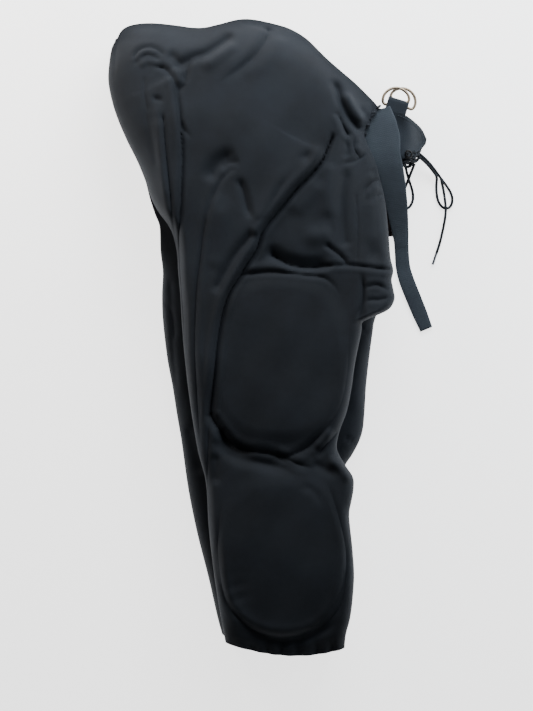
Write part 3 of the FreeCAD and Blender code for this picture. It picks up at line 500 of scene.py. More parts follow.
def split_rows(grid, faces, levels, cut):
    """The faces above and below one row of a half."""
    row = int(np.argmin(np.abs(levels - cut)))
    quads = np.array(faces)
    first = quads[:, 0] // grid.shape[1]
    return quads[first < row].tolist(), quads[first >= row].tolist()


# ---------------------------------------------------------------- materials


def linear(code):
    """An sRGB hex colour as linear RGBA."""
    parts = [int(code[i:i + 2], 16) / 255 for i in (0, 2, 4)]
    return tuple(p / 12.92 if p <= 0.04045 else ((p + 0.055) / 1.055) ** 2.4 for p in parts) + (1.0,)


def add_node(tree, kind, inputs=None, **settings):
    """Adds a node with its settings; inputs holds a value or another node's output for each socket."""
    node = tree.nodes.new(kind)
    for key, value in settings.items():
        setattr(node, key, value)
    for key, value in (inputs or {}).items():
        if isinstance(value, bpy.types.NodeSocket):
            tree.links.new(value, node.inputs[key])
        else:
            node.inputs[key].default_value = value
    return node


def new_material(name):
    """A new material, with its node tree and where a point lies on the piece."""
    material = bpy.data.materials.new(name)
    material.use_nodes = True
    place = add_node(material.node_tree, "ShaderNodeTexCoord").outputs["Object"]
    return material, material.node_tree, place


def finish_surface(tree, **values):
    """Sets the sockets of a material's shader: plain values, or outputs to link."""
    shader = tree.nodes["Principled BSDF"]
    for key, value in values.items():
        socket = shader.inputs[key.replace("_", " ")]
        if isinstance(value, bpy.types.NodeSocket):
            tree.links.new(value, socket)
        else:
            socket.default_value = value


def cloth_material(name, dark, light, weave=0.9, rib=False, sheen=0.35, rough=0.86, bump=0.35,
                   tint="5b6470"):
    """Matt cloth: stitches or threads a weave (in mm) apart on the piece's own UV map, and a faint bloom.

    The real threads are finer than this in some places; they are drawn as coarse as they need to show."""
    material, tree, place = new_material(name)
    uv = add_node(tree, "ShaderNodeUVMap", uv_map="cloth").outputs[0]
    split = add_node(tree, "ShaderNodeSeparateXYZ", {0: uv})
    pitch = 2 * math.pi / (weave * MM)
    across = add_node(tree, "ShaderNodeMath", {0: split.outputs[0], 1: pitch},
                      operation="MULTIPLY").outputs[0]
    down = add_node(tree, "ShaderNodeMath", {0: split.outputs[1], 1: pitch * (0.5 if rib else 1.25)},
                    operation="MULTIPLY").outputs[0]
    loops = add_node(tree, "ShaderNodeMath", {0: across}, operation="SINE").outputs[0]
    courses = add_node(tree, "ShaderNodeMath", {0: down}, operation="SINE").outputs[0]
    if rib:
        soft = add_node(tree, "ShaderNodeMath", {0: courses, 1: 0.4}, operation="MULTIPLY").outputs[0]
        knit = add_node(tree, "ShaderNodeMath", {0: loops, 1: soft}, operation="ADD").outputs[0]
    else:
        knit = add_node(tree, "ShaderNodeMath", {0: loops, 1: courses}, operation="MULTIPLY").outputs[0]
    # fibres about 0.7 mm apart, and slow fading about 70 mm across
    fuzz = add_node(tree, "ShaderNodeTexNoise", {"Vector": place, "Scale": 1.4 / MM, "Detail": 3.0,
                                                 "Roughness": 0.7}).outputs[0]
    slow = add_node(tree, "ShaderNodeTexNoise", {"Vector": place, "Scale": 0.014 / MM, "Detail": 4.0,
                                                 "Roughness": 0.6}).outputs[0]
    level = add_node(tree, "ShaderNodeMapRange", {"Value": slow, 1: 0.3, 2: 0.7, 3: 0.0, 4: 1.0}).outputs[0]
    grain = add_node(tree, "ShaderNodeMapRange", {"Value": fuzz, 1: 0.3, 2: 0.7, 3: 0.0, 4: 0.4}).outputs[0]
    faded = add_node(tree, "ShaderNodeMix", {0: level, 6: linear(dark), 7: linear(light)},
                     data_type="RGBA").outputs[2]
    grainy = add_node(tree, "ShaderNodeMix", {0: grain, 6: faded, 7: linear(light)},
                      data_type="RGBA").outputs[2]
    # painted shade and highlight at thread scale: the colour is scaled by the same weave as the bump, darker
    # in its hollows and paler on its crests
    shade = add_node(tree, "ShaderNodeMapRange", {"Value": knit, 1: -1.0, 2: 1.0, 3: 0.78,
                                                  4: 1.12}).outputs[0]
    colour = add_node(tree, "ShaderNodeVectorMath", {0: grainy, "Scale": shade},
                      operation="SCALE").outputs[0]
    threads = add_node(tree, "ShaderNodeMath", {0: knit, 1: 0.5}, operation="MULTIPLY").outputs[0]
    fibres = add_node(tree, "ShaderNodeMath", {0: fuzz, 1: 0.9}, operation="MULTIPLY").outputs[0]
    height = add_node(tree, "ShaderNodeMath", {0: threads, 1: fibres}, operation="ADD").outputs[0]
    normal = add_node(tree, "ShaderNodeBump", {"Strength": bump, "Distance": 0.25 * MM,
                                               "Height": height}).outputs[0]
    finish_surface(tree, Base_Color=colour, Roughness=rough, Sheen_Weight=sheen, Sheen_Roughness=0.45,
                   Sheen_Tint=linear(tint), Normal=normal, Specular_IOR_Level=0.25)
    return material


def metal_material(name, shade, rough, scratch=0.05):
    """Bare or enamelled metal: fine scratches about 1 mm apart, and rubbed patches about 8 mm across."""
    material, tree, place = new_material(name)
    noise = add_node(tree, "ShaderNodeTexNoise", {"Vector": place, "Scale": 0.9 / MM,
                                                  "Detail": 4.0}).outputs[0]
    slow = add_node(tree, "ShaderNodeTexNoise", {"Vector": place, "Scale": 0.12 / MM,
                                                 "Detail": 2.0}).outputs[0]
    normal = add_node(tree, "ShaderNodeBump", {"Strength": scratch, "Distance": 0.2 * MM,
                                               "Height": noise}).outputs[0]
    patches = add_node(tree, "ShaderNodeMapRange", {"Value": slow, 1: 0.3, 2: 0.7, 3: rough * 0.7,
                                                    4: rough * 1.4}).outputs[0]
    finish_surface(tree, Base_Color=linear(shade), Metallic=1.0, Roughness=patches, Normal=normal)
    return material


def lace_material():
    """A braided polyester lace: strands about 1.6 mm apart, with painted shade where they dip and a painted
    highlight where they cross.
    """
    material, tree, place = new_material("lace")
    braid_cells = add_node(tree, "ShaderNodeTexVoronoi", {"Vector": place, "Scale": 0.62 / MM}).outputs[0]
    fine = add_node(tree, "ShaderNodeTexNoise", {"Vector": place, "Scale": 1.8 / MM,
                                                 "Detail": 2.0}).outputs[0]
    level = add_node(tree, "ShaderNodeMapRange", {"Value": braid_cells, 1: 0.15, 2: 0.62, 3: 0.0,
                                                  4: 1.0}).outputs[0]
    fibres = add_node(tree, "ShaderNodeMath", {0: fine, 1: 0.4}, operation="MULTIPLY").outputs[0]
    height = add_node(tree, "ShaderNodeMath", {0: braid_cells, 1: fibres}, operation="ADD").outputs[0]
    normal = add_node(tree, "ShaderNodeBump", {"Strength": 0.9, "Distance": 0.4 * MM,
                                               "Height": height}).outputs[0]
    # painted shade and highlight of the braid: dark and pale in step with the same cells that make its bumps
    colour = add_node(tree, "ShaderNodeMix", {0: level, 6: linear("373d45"), 7: linear("0f1215")},
                      data_type="RGBA").outputs[2]
    finish_surface(tree, Base_Color=colour, Roughness=0.9, Specular_IOR_Level=0.2, Normal=normal)
    return material


def foam_material():
    """Open-cell polyurethane foam: matt grey, with cells about 1 mm across."""
    material, tree, place = new_material("foam")
    cells = add_node(tree, "ShaderNodeTexVoronoi", {"Vector": place, "Scale": 0.9 / MM}).outputs[0]
    slow = add_node(tree, "ShaderNodeTexNoise", {"Vector": place, "Scale": 0.025 / MM,
                                                 "Detail": 3.0}).outputs[0]
    normal = add_node(tree, "ShaderNodeBump", {"Strength": 0.5, "Distance": 0.3 * MM,
                                               "Height": cells}).outputs[0]
    colour = add_node(tree, "ShaderNodeMix", {0: slow, 6: linear("3a3b3e"), 7: linear("55565a")},
                      data_type="RGBA").outputs[2]
    finish_surface(tree, Base_Color=colour, Roughness=0.8, Normal=normal)
    return material


def floor_material():
    """A plain pale sweep that glows a little, so the pants stand out dark on it."""
    material, tree, place = new_material("pale_floor")
    noise = add_node(tree, "ShaderNodeTexNoise", {"Vector": place, "Scale": 0.003 / MM,
                                                  "Detail": 2.0}).outputs[0]
    colour = add_node(tree, "ShaderNodeMix", {0: noise, 6: linear("f4f4f4"), 7: linear("fafafa")},
                      data_type="RGBA").outputs[2]
    finish_surface(tree, Base_Color=colour, Roughness=0.9, Specular_IOR_Level=0.0,
                   Emission_Color=linear("ffffff"), Emission_Strength=2.2)
    return material


# polyester knits: nearly black, matt, with a soft bloom where they turn away
KNIT = cloth_material("black_knit", "14171c", "1f242b", sheen=0.16)
LINING = cloth_material("lining_knit", "121416", "1b1d20", sheen=0.1)
# woven cloths: a coarser weave, paler than the knit, bluer on the fly and the belt; the belt webbing's
# colour is partly its own and partly painted light
TWILL = cloth_material("fly_twill", "191e24", "242b33", weave=1.1, bump=0.6, sheen=0.2)
# painted light: the webbing's colours are raised to make up for the shade on the free strap's steep slope,
# which faces away from the window light
WEBBING = cloth_material("belt_webbing", "2d323a", "3f474f", weave=1.1, rib=True, sheen=0.3, bump=0.7)
TONGUE = cloth_material("tongue_cloth", "241c1b", "332827", weave=0.8, sheen=0.15)
# ribbed elastic, and polyester thread that is a little paler than the cloth it holds
ELASTIC = cloth_material("hem_elastic", "0f1012", "191b1e", weave=2.2, rib=True, sheen=0.1, bump=0.8)
THREAD = cloth_material("thread", "2c3238", "434a52", weave=0.4, sheen=0.2, bump=0.2)
# plated steel wire gone warm and dull, a dull crimped tag, and black enamelled eyelets
RING_METAL = metal_material("ring_metal", "8d8070", 0.42)
TAG_METAL = metal_material("tag_metal", "6f7278", 0.35)
EYELET_METAL = metal_material("eyelet_enamel", "0e0f11", 0.55)
FOAM = foam_material()
LACE = lace_material()


def wear(piece, material):
    """Gives a piece its one material."""
    piece.data.materials.clear()
    piece.data.materials.append(material)
    return piece


# ---------------------------------------------------------------- the knit shells


def across_hip(piece):
    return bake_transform(piece)


def across_knee(piece):
    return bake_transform(piece)


def shells():
    """Each half is one cloth surface, parted at the knee into an upper and a lower piece."""
    for which, side in (("near", "right"), ("far", "left")):
        grid, points, faces, normals, uv, levels = build_half(which)
        upper, lower = split_rows(grid, faces, levels, KNEE_CUT)
        thigh = thick_cloth(f"{side}_seat_and_thigh", points, upper, normals, uv)
        shin = thick_cloth(f"{side}_knee", points, lower, normals, uv)
        for piece in (thigh, shin):
            wear(piece, KNIT)
        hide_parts(f"{side}_seat_panel", f"{side}_thigh_sleeve")
        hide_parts(f"{side}_knee_sleeve")
        across_hip(thigh)
        across_knee(shin)


shells()


def pad_between(name, middle, half, top, bottom, look, rings=14, around=96, crown=6.0, power=3.4):
    """A closed, crowned pad in a rounded box outline, between two heights given as functions of x and y."""
    turn = np.linspace(0, 2 * np.pi, around, endpoint=False)
    edge = np.stack([half[0] * np.sign(np.cos(turn)) * np.abs(np.cos(turn)) ** (2 / power),
                     half[1] * np.sign(np.sin(turn)) * np.abs(np.sin(turn)) ** (2 / power)], 1)
    reach = np.sin(np.linspace(0, np.pi / 2, rings + 1))[1:]
    plan = np.array(middle) + np.vstack([[[0, 0]]] + [edge * r for r in reach])
    full = np.concatenate([[1], np.repeat(np.clip(1 - reach ** crown, 0, 1) ** 0.5, around)])
    x, y = plan[:, 0], plan[:, 1]
    high, low = top(x, y), bottom(x, y)
    centre = (high + low) / 2
    upper = np.column_stack([x, y, centre + (high - centre) * full])
    under = np.column_stack([x, y, centre + (low - centre) * full])[:-around]
    rim = 1 + (rings - 1) * around
    faces = []
    for i in range(around):
        n = (i + 1) % around
        faces.append((0, 1 + i, 1 + n))
        faces.append((len(upper), len(upper) + 1 + n, len(upper) + 1 + i))
        for r in range(rings - 1):
            a, b = 1 + r * around, 1 + (r + 1) * around
            faces.append((a + i, b + i, b + n, a + n))
            c, d = len(upper) + a, (len(upper) + b if r < rings - 2 else rim)
            faces.append((c + n, d + n, d + i, c + i))
    points = np.vstack([upper, under])
    return wear(mesh_object(name, points, faces, points[:, :2]), look)


def swell(piece, frames=16, pressure=4.0, cap=2.0):
    """Lets a foam pad swell under its own pressure for a few frames, by no more than a cap in mm."""
    scene = bpy.context.scene
    mesh = piece.data
    rest = np.empty(len(mesh.vertices) * 3)
    mesh.vertices.foreach_get("co", rest)
    cloth = piece.modifiers.new("swell", "CLOTH")
    cloth.settings.use_pressure = True
    cloth.settings.uniform_pressure_force = pressure
    cloth.settings.quality = 5
    cloth.settings.effector_weights.gravity = 0
    cloth.settings.tension_stiffness = cloth.settings.compression_stiffness = 25
    cloth.settings.bending_stiffness = 4
    cloth.point_cache.frame_start, cloth.point_cache.frame_end = 1, frames
    for step in range(1, frames + 1):
        scene.frame_set(step)
    made = piece.evaluated_get(bpy.context.evaluated_depsgraph_get())
    moved = np.empty(len(made.data.vertices) * 3)
    made.data.vertices.foreach_get("co", moved)
    piece.modifiers.remove(cloth)
    scene.frame_set(1)
    shift = (moved - rest).reshape(-1, 3)
    far = np.linalg.norm(shift, axis=1)[:, None]
    shift *= np.minimum(1, cap * MM / np.maximum(far, 1e-9))
    mesh.vertices.foreach_set("co", (rest.reshape(-1, 3) + shift).ravel())
    mesh.update()


PAD_THICK = 11.0
POCKET_GAP, POCKET_THICK = 0.6, 0.8


def pad_layer(which, near, far):
    """The two surfaces, upper first, of a layer between two depths below one half's outer cloth."""
    if which == "near":
        return (lambda x, y: near_height(x, y) - near), (lambda x, y: near_height(x, y) - far)
    return (lambda x, y: far_floor(x, y) + far), (lambda x, y: far_floor(x, y) + near)


def pads():
    """The foam pads and, behind each one, the cloth of its pocket."""
    # middles on the near and the far half, half width and half height, and the cloth and air over the pad
    plans = [("thigh_pad", (2.5, -28), (12, -28), (71, 87), 4.2),
             ("knee_pad", (13, -249), (8, -249), (62, 85), 4.2),
             ("hip_pad", (-5, 246), (-5, 246), (58, 70), 8.5)]
    for part, near_middle, far_middle, half, under in plans:
        pocket_half = (half[0] + 3, half[1] + 3)
        back = under + PAD_THICK
        for which, side, middle in (("near", "right", near_middle), ("far", "left", far_middle)):
            foam = pad_between(f"{side}_{part}_foam", middle, half, *pad_layer(which, under, back), FOAM)
            swell(foam)
            cloth = pad_layer(which, back + POCKET_GAP, back + POCKET_GAP + POCKET_THICK)
            pocket = pad_between(f"{side}_{part}_lining", middle, pocket_half, *cloth, LINING, crown=40)
            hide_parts(f"{side}_{part}")
            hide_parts(f"{side}_{part}_pocket")
            for piece in (foam, pocket):
                if part == "hip_pad":
                    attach(piece, "seat")
                elif part == "thigh_pad":
                    across_hip(piece)
                else:
                    across_knee(piece)


pads()


def tail_guard():
    """The tail pad stands on edge inside the back of the seat, with its pocket cloth in front of it."""
    for name, node, x_middle, thick, grow, look, slot in (
            ("tail_foam", "tail_pad", -152.0, 10.0, 0.0, FOAM, "pad_foam"),
            ("tail_lining", "tail_pad_pocket", -145.6, 0.8, 2.0, LINING, "lining_knit")):
        turn = np.linspace(0, 2 * np.pi, 72, endpoint=False)
        rings, points = (1.0, 0.93, 0.7, 0.35), []
        for face in (1, -1):
            for r in rings:
                full = max(0.0, 1 - r ** 8) ** 0.5
                y = 285 + (40 + grow) * r * np.sign(np.cos(turn)) * np.abs(np.cos(turn)) ** 0.6
                x = np.full_like(y, x_middle) + face * thick / 2 * full - 0.0016 * (y - 285) ** 2
                high = near_height(x, y) - 5
                low = far_floor(x, y) + 5
                reach = r * np.sign(np.sin(turn)) * np.abs(np.sin(turn)) ** 0.6
                z = (high + low) / 2 + (high - low) / 2 * reach
                points.append(np.column_stack([x, y, z]))
        count, faces = len(turn), []
        for face in (0, 1):
            for ring in range(3):
                a, b = (face * 4 + ring) * count, (face * 4 + ring + 1) * count
                for i in range(count):
                    n = (i + 1) % count
                    quad = (a + i, a + n, b + n, b + i)
                    faces.append(quad if face == 0 else quad[::-1])
            cap = [(face * 4 + 3) * count + i for i in range(count)]
            faces.append(cap if face == 0 else cap[::-1])
        for i in range(count):
            n = (i + 1) % count
            faces.append((i, 4 * count + i, 4 * count + n, n))
        body = np.vstack(points)
        piece = wear(mesh_object(name, body, faces, body[:, 1:]), look)
        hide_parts(node)
        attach(piece, "seat")


tail_guard()


def inside_run(y, front, count):
    """Points round the seat's back at one y: over the near side, down the back, under the far side."""
    back = NEAR_BACK(y)
    share = 1 - np.cos(np.linspace(0, np.pi / 2, count))
    x = back + (front - back) * share
    flat = np.full(count, float(y))
    top = np.column_stack([x, flat, near_height(x, flat)])[::-1]
    low = np.column_stack([x, flat, far_floor(x, flat)])[1:]
    return np.vstack([top, low])


def strip_of(name, rows, gaps, look):
    """A closed thin strip from rows of points, pushed inwards from them by two distances."""
    layers = []
    for gap in gaps:
        for row in rows:
            run = np.gradient(row, axis=0)
            away = np.column_stack([-run[:, 2], np.zeros(len(row)), run[:, 0]])
            away /= np.maximum(np.linalg.norm(away, axis=1), 1e-9)[:, None]
            layers.append(row - away * gap * np.sign(np.sum(away * (row - row.mean(0)), 1))[:, None])
    count, depth = len(rows[0]), len(rows)
    points = np.vstack(layers)
    faces = []
    for j in range(depth - 1):
        for i in range(count - 1):
            a = j * count + i
            b = a + depth * count
            faces.append((a, a + count, a + count + 1, a + 1))
            faces.append((b, b + 1, b + count + 1, b + count))
    for i in range(count - 1):
        for j in (0, depth - 1):
            a = j * count + i
            b = a + depth * count
            faces.append((a, a + 1, b + 1, b) if j == 0 else (b, b + 1, a + 1, a))
    for j in range(depth - 1):
        for i in (0, count - 1):
            a = j * count + i
            b = a + depth * count
            quad = (a, b, b + count, a + count)
            faces.append(quad if i == 0 else quad[::-1])
    along = np.concatenate([[0], np.cumsum(np.linalg.norm(np.diff(rows[0], axis=0), axis=1))])
    uv = np.vstack([np.column_stack([np.full(count, row[0, 1]), along]) for row in rows] * 2)
    return wear(mesh_object(name, points, faces, uv), look)


def waist_belt():
    """The belt inside the waist, and the lining of the tunnel it runs in."""
    for name, node, low, high, gaps, look, slot in (
            ("belt_inside", "waist_belt", 234, 256, (3.0, 4.4), WEBBING, "belt_webbing"),
            ("tunnel_lining", "belt_tunnel", 229, 261, (5.2, 6.0), LINING, "lining_knit")):
        rows = [inside_run(y, 62, 90) for y in np.linspace(low, high, 9)]
        piece = strip_of(name, rows, gaps, look)
        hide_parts(node)
        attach(piece, "seat")


waist_belt()


def sheet_grid(name, rows, thick, look):
    """A thin closed sheet from rows of points, thickened downwards."""
    grid = np.array(rows)
    points = grid.reshape(-1, 3)
    faces = grid_faces(len(grid), grid.shape[1])
    normals = vertex_normals(points, faces)
    if normals[:, 2].mean() < 0:
        faces = [face[::-1] for face in faces]
        normals = -normals
    return wear(thick_cloth(name, points, faces, normals, points[:, :2], thick), look)


def gusset():
    """The cloth that joins the legs' inner sides at the crotch."""
    rows = []
    for y in np.linspace(64, 103, 16):
        x = np.linspace(NEAR_BACK(y) + 10, NEAR_FRONT(y) - 12, 80)
        flat = np.full_like(x, y)
        rows.append(np.column_stack([x, flat, (near_floor(x, flat) + far_height(x, flat)) / 2 + 0.4]))
    piece = sheet_grid("crotch_web", rows, 0.8, KNIT)
    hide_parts("crotch_gusset")
    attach(piece, "seat")


gusset()

# ---------------------------------------------------------------- the far flap, and the belt's free end

FLAP_TOP = [(104, 254), (113, 259.5), (122, 261), (137, 258), (151.5, 254), (165, 247.5), (175.5, 240),
            (181.3, 230)]
FLAP_FOOT = [(104, 150), (126, 152), (141, 176), (148, 199), (154, 204.5), (162, 207), (170, 211.5),
             (180.3, 224)]
EYELETS = [(158, 209), (143, 194), (135, 168)]


def flap_height(x, y):
    """The far flap slopes from the near edge's height down to the floor at its tip."""
    z = 11.5 + 30 * ease(184, 152, x) * ease(176, 208, y) + 1.0 * np.sin(x / 5.2 + y / 9) * ease(172, 150, x)
    z += 0.8 * np.sin((x - y) / 6.5) * ease(200, 225, y) + 2.0 * ease(240, 262, y) * ease(175, 150, x)
    return z


def far_flap():
    top, foot = through(FLAP_TOP, 90), through(FLAP_FOOT, 90)
    rows = []
    for share in np.linspace(0, 1, 110):
        line = top * (1 - share) + foot * share
        rows.append(np.column_stack([line, flap_height(line[:, 0], line[:, 1])]))
    piece = sheet_grid("far_fly_flap", rows, 1.6, TWILL)
    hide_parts("left_fly_facing")
    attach(piece, "seat")


far_flap()


def ribbon(name, stations, look, steps=10):
    """A webbing strap through stations of (point, direction across, width, thickness)."""
    values = np.array([list(p) + list(d) + [w, t] for p, d, w, t in stations], float)
    v = through(values[:, :3], steps * len(stations))
    spans = np.linspace(0, len(stations) - 1, steps * len(stations))
    other = np.column_stack([np.interp(spans, np.arange(len(stations)), values[:, k]) for k in range(3, 8)])
    run = np.gradient(v, axis=0)
    run /= np.linalg.norm(run, axis=1)[:, None]
    across = other[:, :3] - (other[:, :3] * run).sum(1)[:, None] * run
    across /= np.linalg.norm(across, axis=1)[:, None]
    up = np.cross(run, across)
    up *= np.sign(up[:, 2].sum())
    shape = [(-0.5, 0), (-0.48, 0.38), (-0.44, 0.5), (-0.2, 0.56), (0, 0.58), (0.2, 0.56), (0.44, 0.5),
             (0.48, 0.38), (0.5, 0), (0.48, -0.38), (0.44, -0.5), (0, -0.5), (-0.44, -0.5), (-0.48, -0.38)]
    rows = [v + across * (other[:, 3:4] * a) + up * (other[:, 4:5] * b) for a, b in shape]
    grid = np.array(rows).transpose(1, 0, 2)
    length = np.concatenate([[0], np.cumsum(np.linalg.norm(np.diff(v, axis=0), axis=1))])
    uv = np.stack([np.array([[s[0] for s in shape]] * len(v)) * other[:, 3:4],
                   np.repeat(length[:, None], len(shape), 1)], 2).reshape(-1, 2)
    count = len(shape)
    faces = grid_faces(len(v), count, True)
    faces += [tuple(range(count))[::-1], tuple((len(v) - 1) * count + i for i in range(count))]
    points = grid.reshape(-1, 3)
    top_edge = shape.index((0, 0.58))
    faces = turned_out(points, faces, faces[:-2], top_edge, up[0])
    return wear(mesh_object(name, points, faces, uv), look)


STRAP = [
    ((117, 257, 45.5), (1, 0.1, 0), 40, 1.6), ((122, 241, 45.5), (1, 0.1, 0), 44, 1.6),
    ((127, 223, 44.5), (1, 0.1, 0), 43, 1.6), ((132, 205, 42), (1, 0.08, 0), 34, 1.6),
    ((139, 184, 35.5), (1, 0.06, 0), 29, 1.6), ((145, 154, 23.5), (1, 0.02, 0), 26, 1.8),
    ((150.1, 125, 12), (1, 0, 0), 20, 2.0),
    ((152, 111, 7.4), (1, 0, 0), 17, 2.2), ((153, 98, 3.6), (1, 0.02, 0), 16.5, 2.2),
    ((154.6, 81, 1.8), (0.99, 0.1, 0), 17, 2.2), ((158.9, 65, 2.2), (0.93, 0.36, 0), 18, 2.2),
    ((167, 44.5, 2.0), (0.9, 0.44, 0), 18, 2.2), ((174.6, 26, 1.8), (0.91, 0.41, 0), 17.5, 2.2),
    ((181.8, 8.5, 1.8), (0.92, 0.38, 0), 15, 2.2)]


def belt_free_end():
    """The belt's free end comes out of the tunnel's mouth, down past the fly and along the floor."""
    strap = ribbon("belt_free_end", STRAP, WEBBING)
    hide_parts("belt_front_strap", "belt_tail_strap")
    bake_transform(strap)


belt_free_end()


def eyelet_rings():
    """Enamelled eyelets that follow the flap: each is a rounded ring with a barrel through the cloth."""
    turn = np.linspace(0, 2 * np.pi, 36, endpoint=False)
    profile = [(2.6, -1.9), (2.6, 0.3), (2.9, 0.75), (3.6, 0.95), (4.5, 0.75), (4.9, 0.1), (3.2, 0.05),
               (3.2, -1.9)]
    points, faces = [], []
    for x, y in EYELETS:
        slope = [(flap_height(x + dx, y + dy) - flap_height(x - dx, y - dy)) / 2 for dx,
                 dy in ((1, 0), (0, 1))]
        first = len(points)
        for radius, height in profile:
            for angle in turn:
                a, b = radius * math.cos(angle), radius * math.sin(angle)
                points.append((x + a, y + b, flap_height(x, y) + slope[0] * a + slope[1] * b + height))
        count = len(turn)
        for j in range(len(profile)):
            for i in range(count):
                n, k = (i + 1) % count, (j + 1) % len(profile)
                inner, outer = first + j * count, first + k * count
                faces.append((inner + n, outer + n, outer + i, inner + i))
    piece = wear(mesh_object("flap_eyelets", points, faces), EYELET_METAL)
    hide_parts("left_eyelets")
    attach(piece, "seat")


eyelet_rings()

# ---------------------------------------------------------------- laces

LACE_THICK = 3.2
BOW = [(169, 214.6, 17), (176, 209.5, 15), (185, 201.5, 11), (192, 193.5, 6), (197.5, 186.6, 2.6),
       (205, 177, 1.8), (211.2, 167.3, 1.8), (212.6, 158.5, 1.8), (210, 151.5, 1.8), (205, 149.4, 1.8),
       (199.4, 151.8, 1.8), (195, 159, 1.8), (193.4, 170, 1.8), (193.4, 179, 3), (193.8, 186.4, 7),
       (189.8, 191.5, 9.2), (183, 199.3, 12.5), (174.6, 206.7, 15.5), (167.4, 211, 20)]
TAIL = [(198.5, 184, 6.4), (200.6, 175, 5.2), (202.5, 165.3, 4.6), (203.6, 156, 5.4), (204.2, 148, 5.4),
        (203.8, 139, 2.6), (202.2, 130, 1.8), (199.4, 116.8, 1.8), (196, 104, 1.8), (193.4, 97, 1.8)]
SMALL = [(154.4, 202, 24), (156.4, 195, 18), (159.4, 187, 9), (162.8, 178.5, 3.2), (165.6, 170.5, 1.8),
         (166.6, 162, 1.8), (164.6, 154.5, 1.8), (160, 149.5, 1.8), (154.5, 149.5, 1.8), (151.5, 156, 1.8),
         (152.6, 165, 1.8), (157, 174.5, 4.2), (161.8, 187.5, 13), (166.5, 200, 19)]


def lace(name, points, node):
    """A free length of lace, as a round curve through given points."""
    curve = bpy.data.curves.new(name, "CURVE")
    curve.dimensions = "3D"
    curve.bevel_depth, curve.bevel_resolution, curve.resolution_u = LACE_THICK / 2 * MM, 3, 10
    curve.use_fill_caps = True
    spline = curve.splines.new("NURBS")
    spline.points.add(len(points) - 1)
    for place, point in zip(spline.points, points):
        place.co = (point[0] * MM, point[1] * MM, point[2] * MM, 1)
    spline.order_u, spline.use_endpoint_u = 3, True
    made = bpy.data.objects.new(name, curve)
    bpy.context.scene.collection.objects.link(made)
    wear(made, LACE)
    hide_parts(node)
    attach(made, "seat")


lace("lace_bow_loop", BOW, "lace_bow")
lace("lace_small_loop", SMALL, "lace_short_end")


def coil(name, path, radius, look, sides=8):
    """A closed-ended round strand along a smooth path, as a plain mesh."""
    v = through(path, 12 * len(path))
    run = np.gradient(v, axis=0)
    run /= np.linalg.norm(run, axis=1)[:, None]
    side = np.cross(run, (0.3, 0.2, 1.0))
    side /= np.linalg.norm(side, axis=1)[:, None]
    up = np.cross(side, run)
    turn = np.linspace(0, 2 * np.pi, sides, endpoint=False)
    grid = v[:, None] + radius * (np.cos(turn)[None, :, None] * side[:, None]
                                  + np.sin(turn)[None, :, None] * up[:, None])
    faces = grid_faces(len(v), sides, True)
    faces += [tuple(range(sides))[::-1], tuple((len(v) - 1) * sides + i for i in range(sides))]
    points = grid.reshape(-1, 3)
    faces = turned_out(points, faces, faces[:-2], 0, points[0] - v[0])
    return wear(mesh_object(name, points, faces, points[:, :2]), look)


def tagged_end():
    """The lace's long end, with the metal tag that is crimped round its last 14 mm."""
    tag_line = [(193.6, 97.6, 1.9), (192, 92.8, 1.9), (190.6, 88.5, 1.9), (189, 84.2, 1.9)]
    tag = coil("crimped_tag", tag_line, 1.55, TAG_METAL)
    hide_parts("lace_tag")
    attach(tag, "seat")
    lace("lace_long_end", TAIL, "lace_tail")


tagged_end()


def knots():
    """The lace's crossings under the strap, and the knot at the flap's lower corner with a dense heart."""
    upper, lower = flap_height(158, 209) + 2.4, flap_height(143, 194) + 2.4
    rung, strand, heart = LACE_THICK / 2, 1.8, 3.2
    strands = [
        ("upper_rung", rung, [(105, 222, 27.5), (118, 221.5, 28.5), (131, 218, 30), (146, 213.5, upper - 7),
                              (158, 209, upper)]),
        ("lower_rung", rung, [(114, 200, 27.5), (125, 199, 28), (134, 196.5, 26), (143, 194, lower - 5)]),
        ("knot_wrap", strand, [(153, 200, 22), (152, 205, 31), (157, 209, 34), (163, 209, 31),
                               (166, 205, 24),
                               (162, 201, 20), (156, 201, 26), (154, 206, 33), (159, 211, 34),
                               (166, 211, 29)]),
        ("knot_cross", strand, [(150, 201, 30), (156, 203, 32), (161, 205, 31), (167, 209, 27),
                                (171, 213, 23),
                                (173, 216, 19)]),
        ("knot_under", strand, [(160, 204, 30), (164, 202, 25), (168, 203, 20), (171, 207, 19),
                                (170, 212, 22),
                                (165, 213, 29)]),
        ("knot_tuck", strand, [(152, 203, 27), (155, 197, 22), (160, 197, 20), (164, 201, 22),
                               (165, 207, 28)]),
        ("knot_heart", heart, [(151, 198, 26), (155, 202, 27), (160, 205.5, 26.5), (166, 209, 23),
                               (170.5, 213, 19)]),
    ]
    for name, radius, path in strands:
        piece = coil(name, path, radius, LACE)
        if radius == rung:
            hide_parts("lace_" + name)
        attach(piece, "seat")


knots()


def tongue():
    """The tongue under the lace: its lower corner shows between the near edge and the strap."""
    left = through([(100, 116), (100, 170), (100, 226)], 60)
    right = through([(145, 117), (143, 150), (134, 180), (122, 216)], 60)
    rows = []
    for share in np.linspace(0, 1, 24):
        line = left * (1 - share) + right * share
        rows.append(np.column_stack([line, 3 + 13 * ease(114, 168,
                                                         line[:, 1]) + 0.3 * np.sin(line[:, 0] / 4)]))
    piece = sheet_grid("tongue_cloth_piece", rows, 1.4, TONGUE)
    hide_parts("fly_tongue")
    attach(piece, "seat")


tongue()


RING_WIRE = 3.2


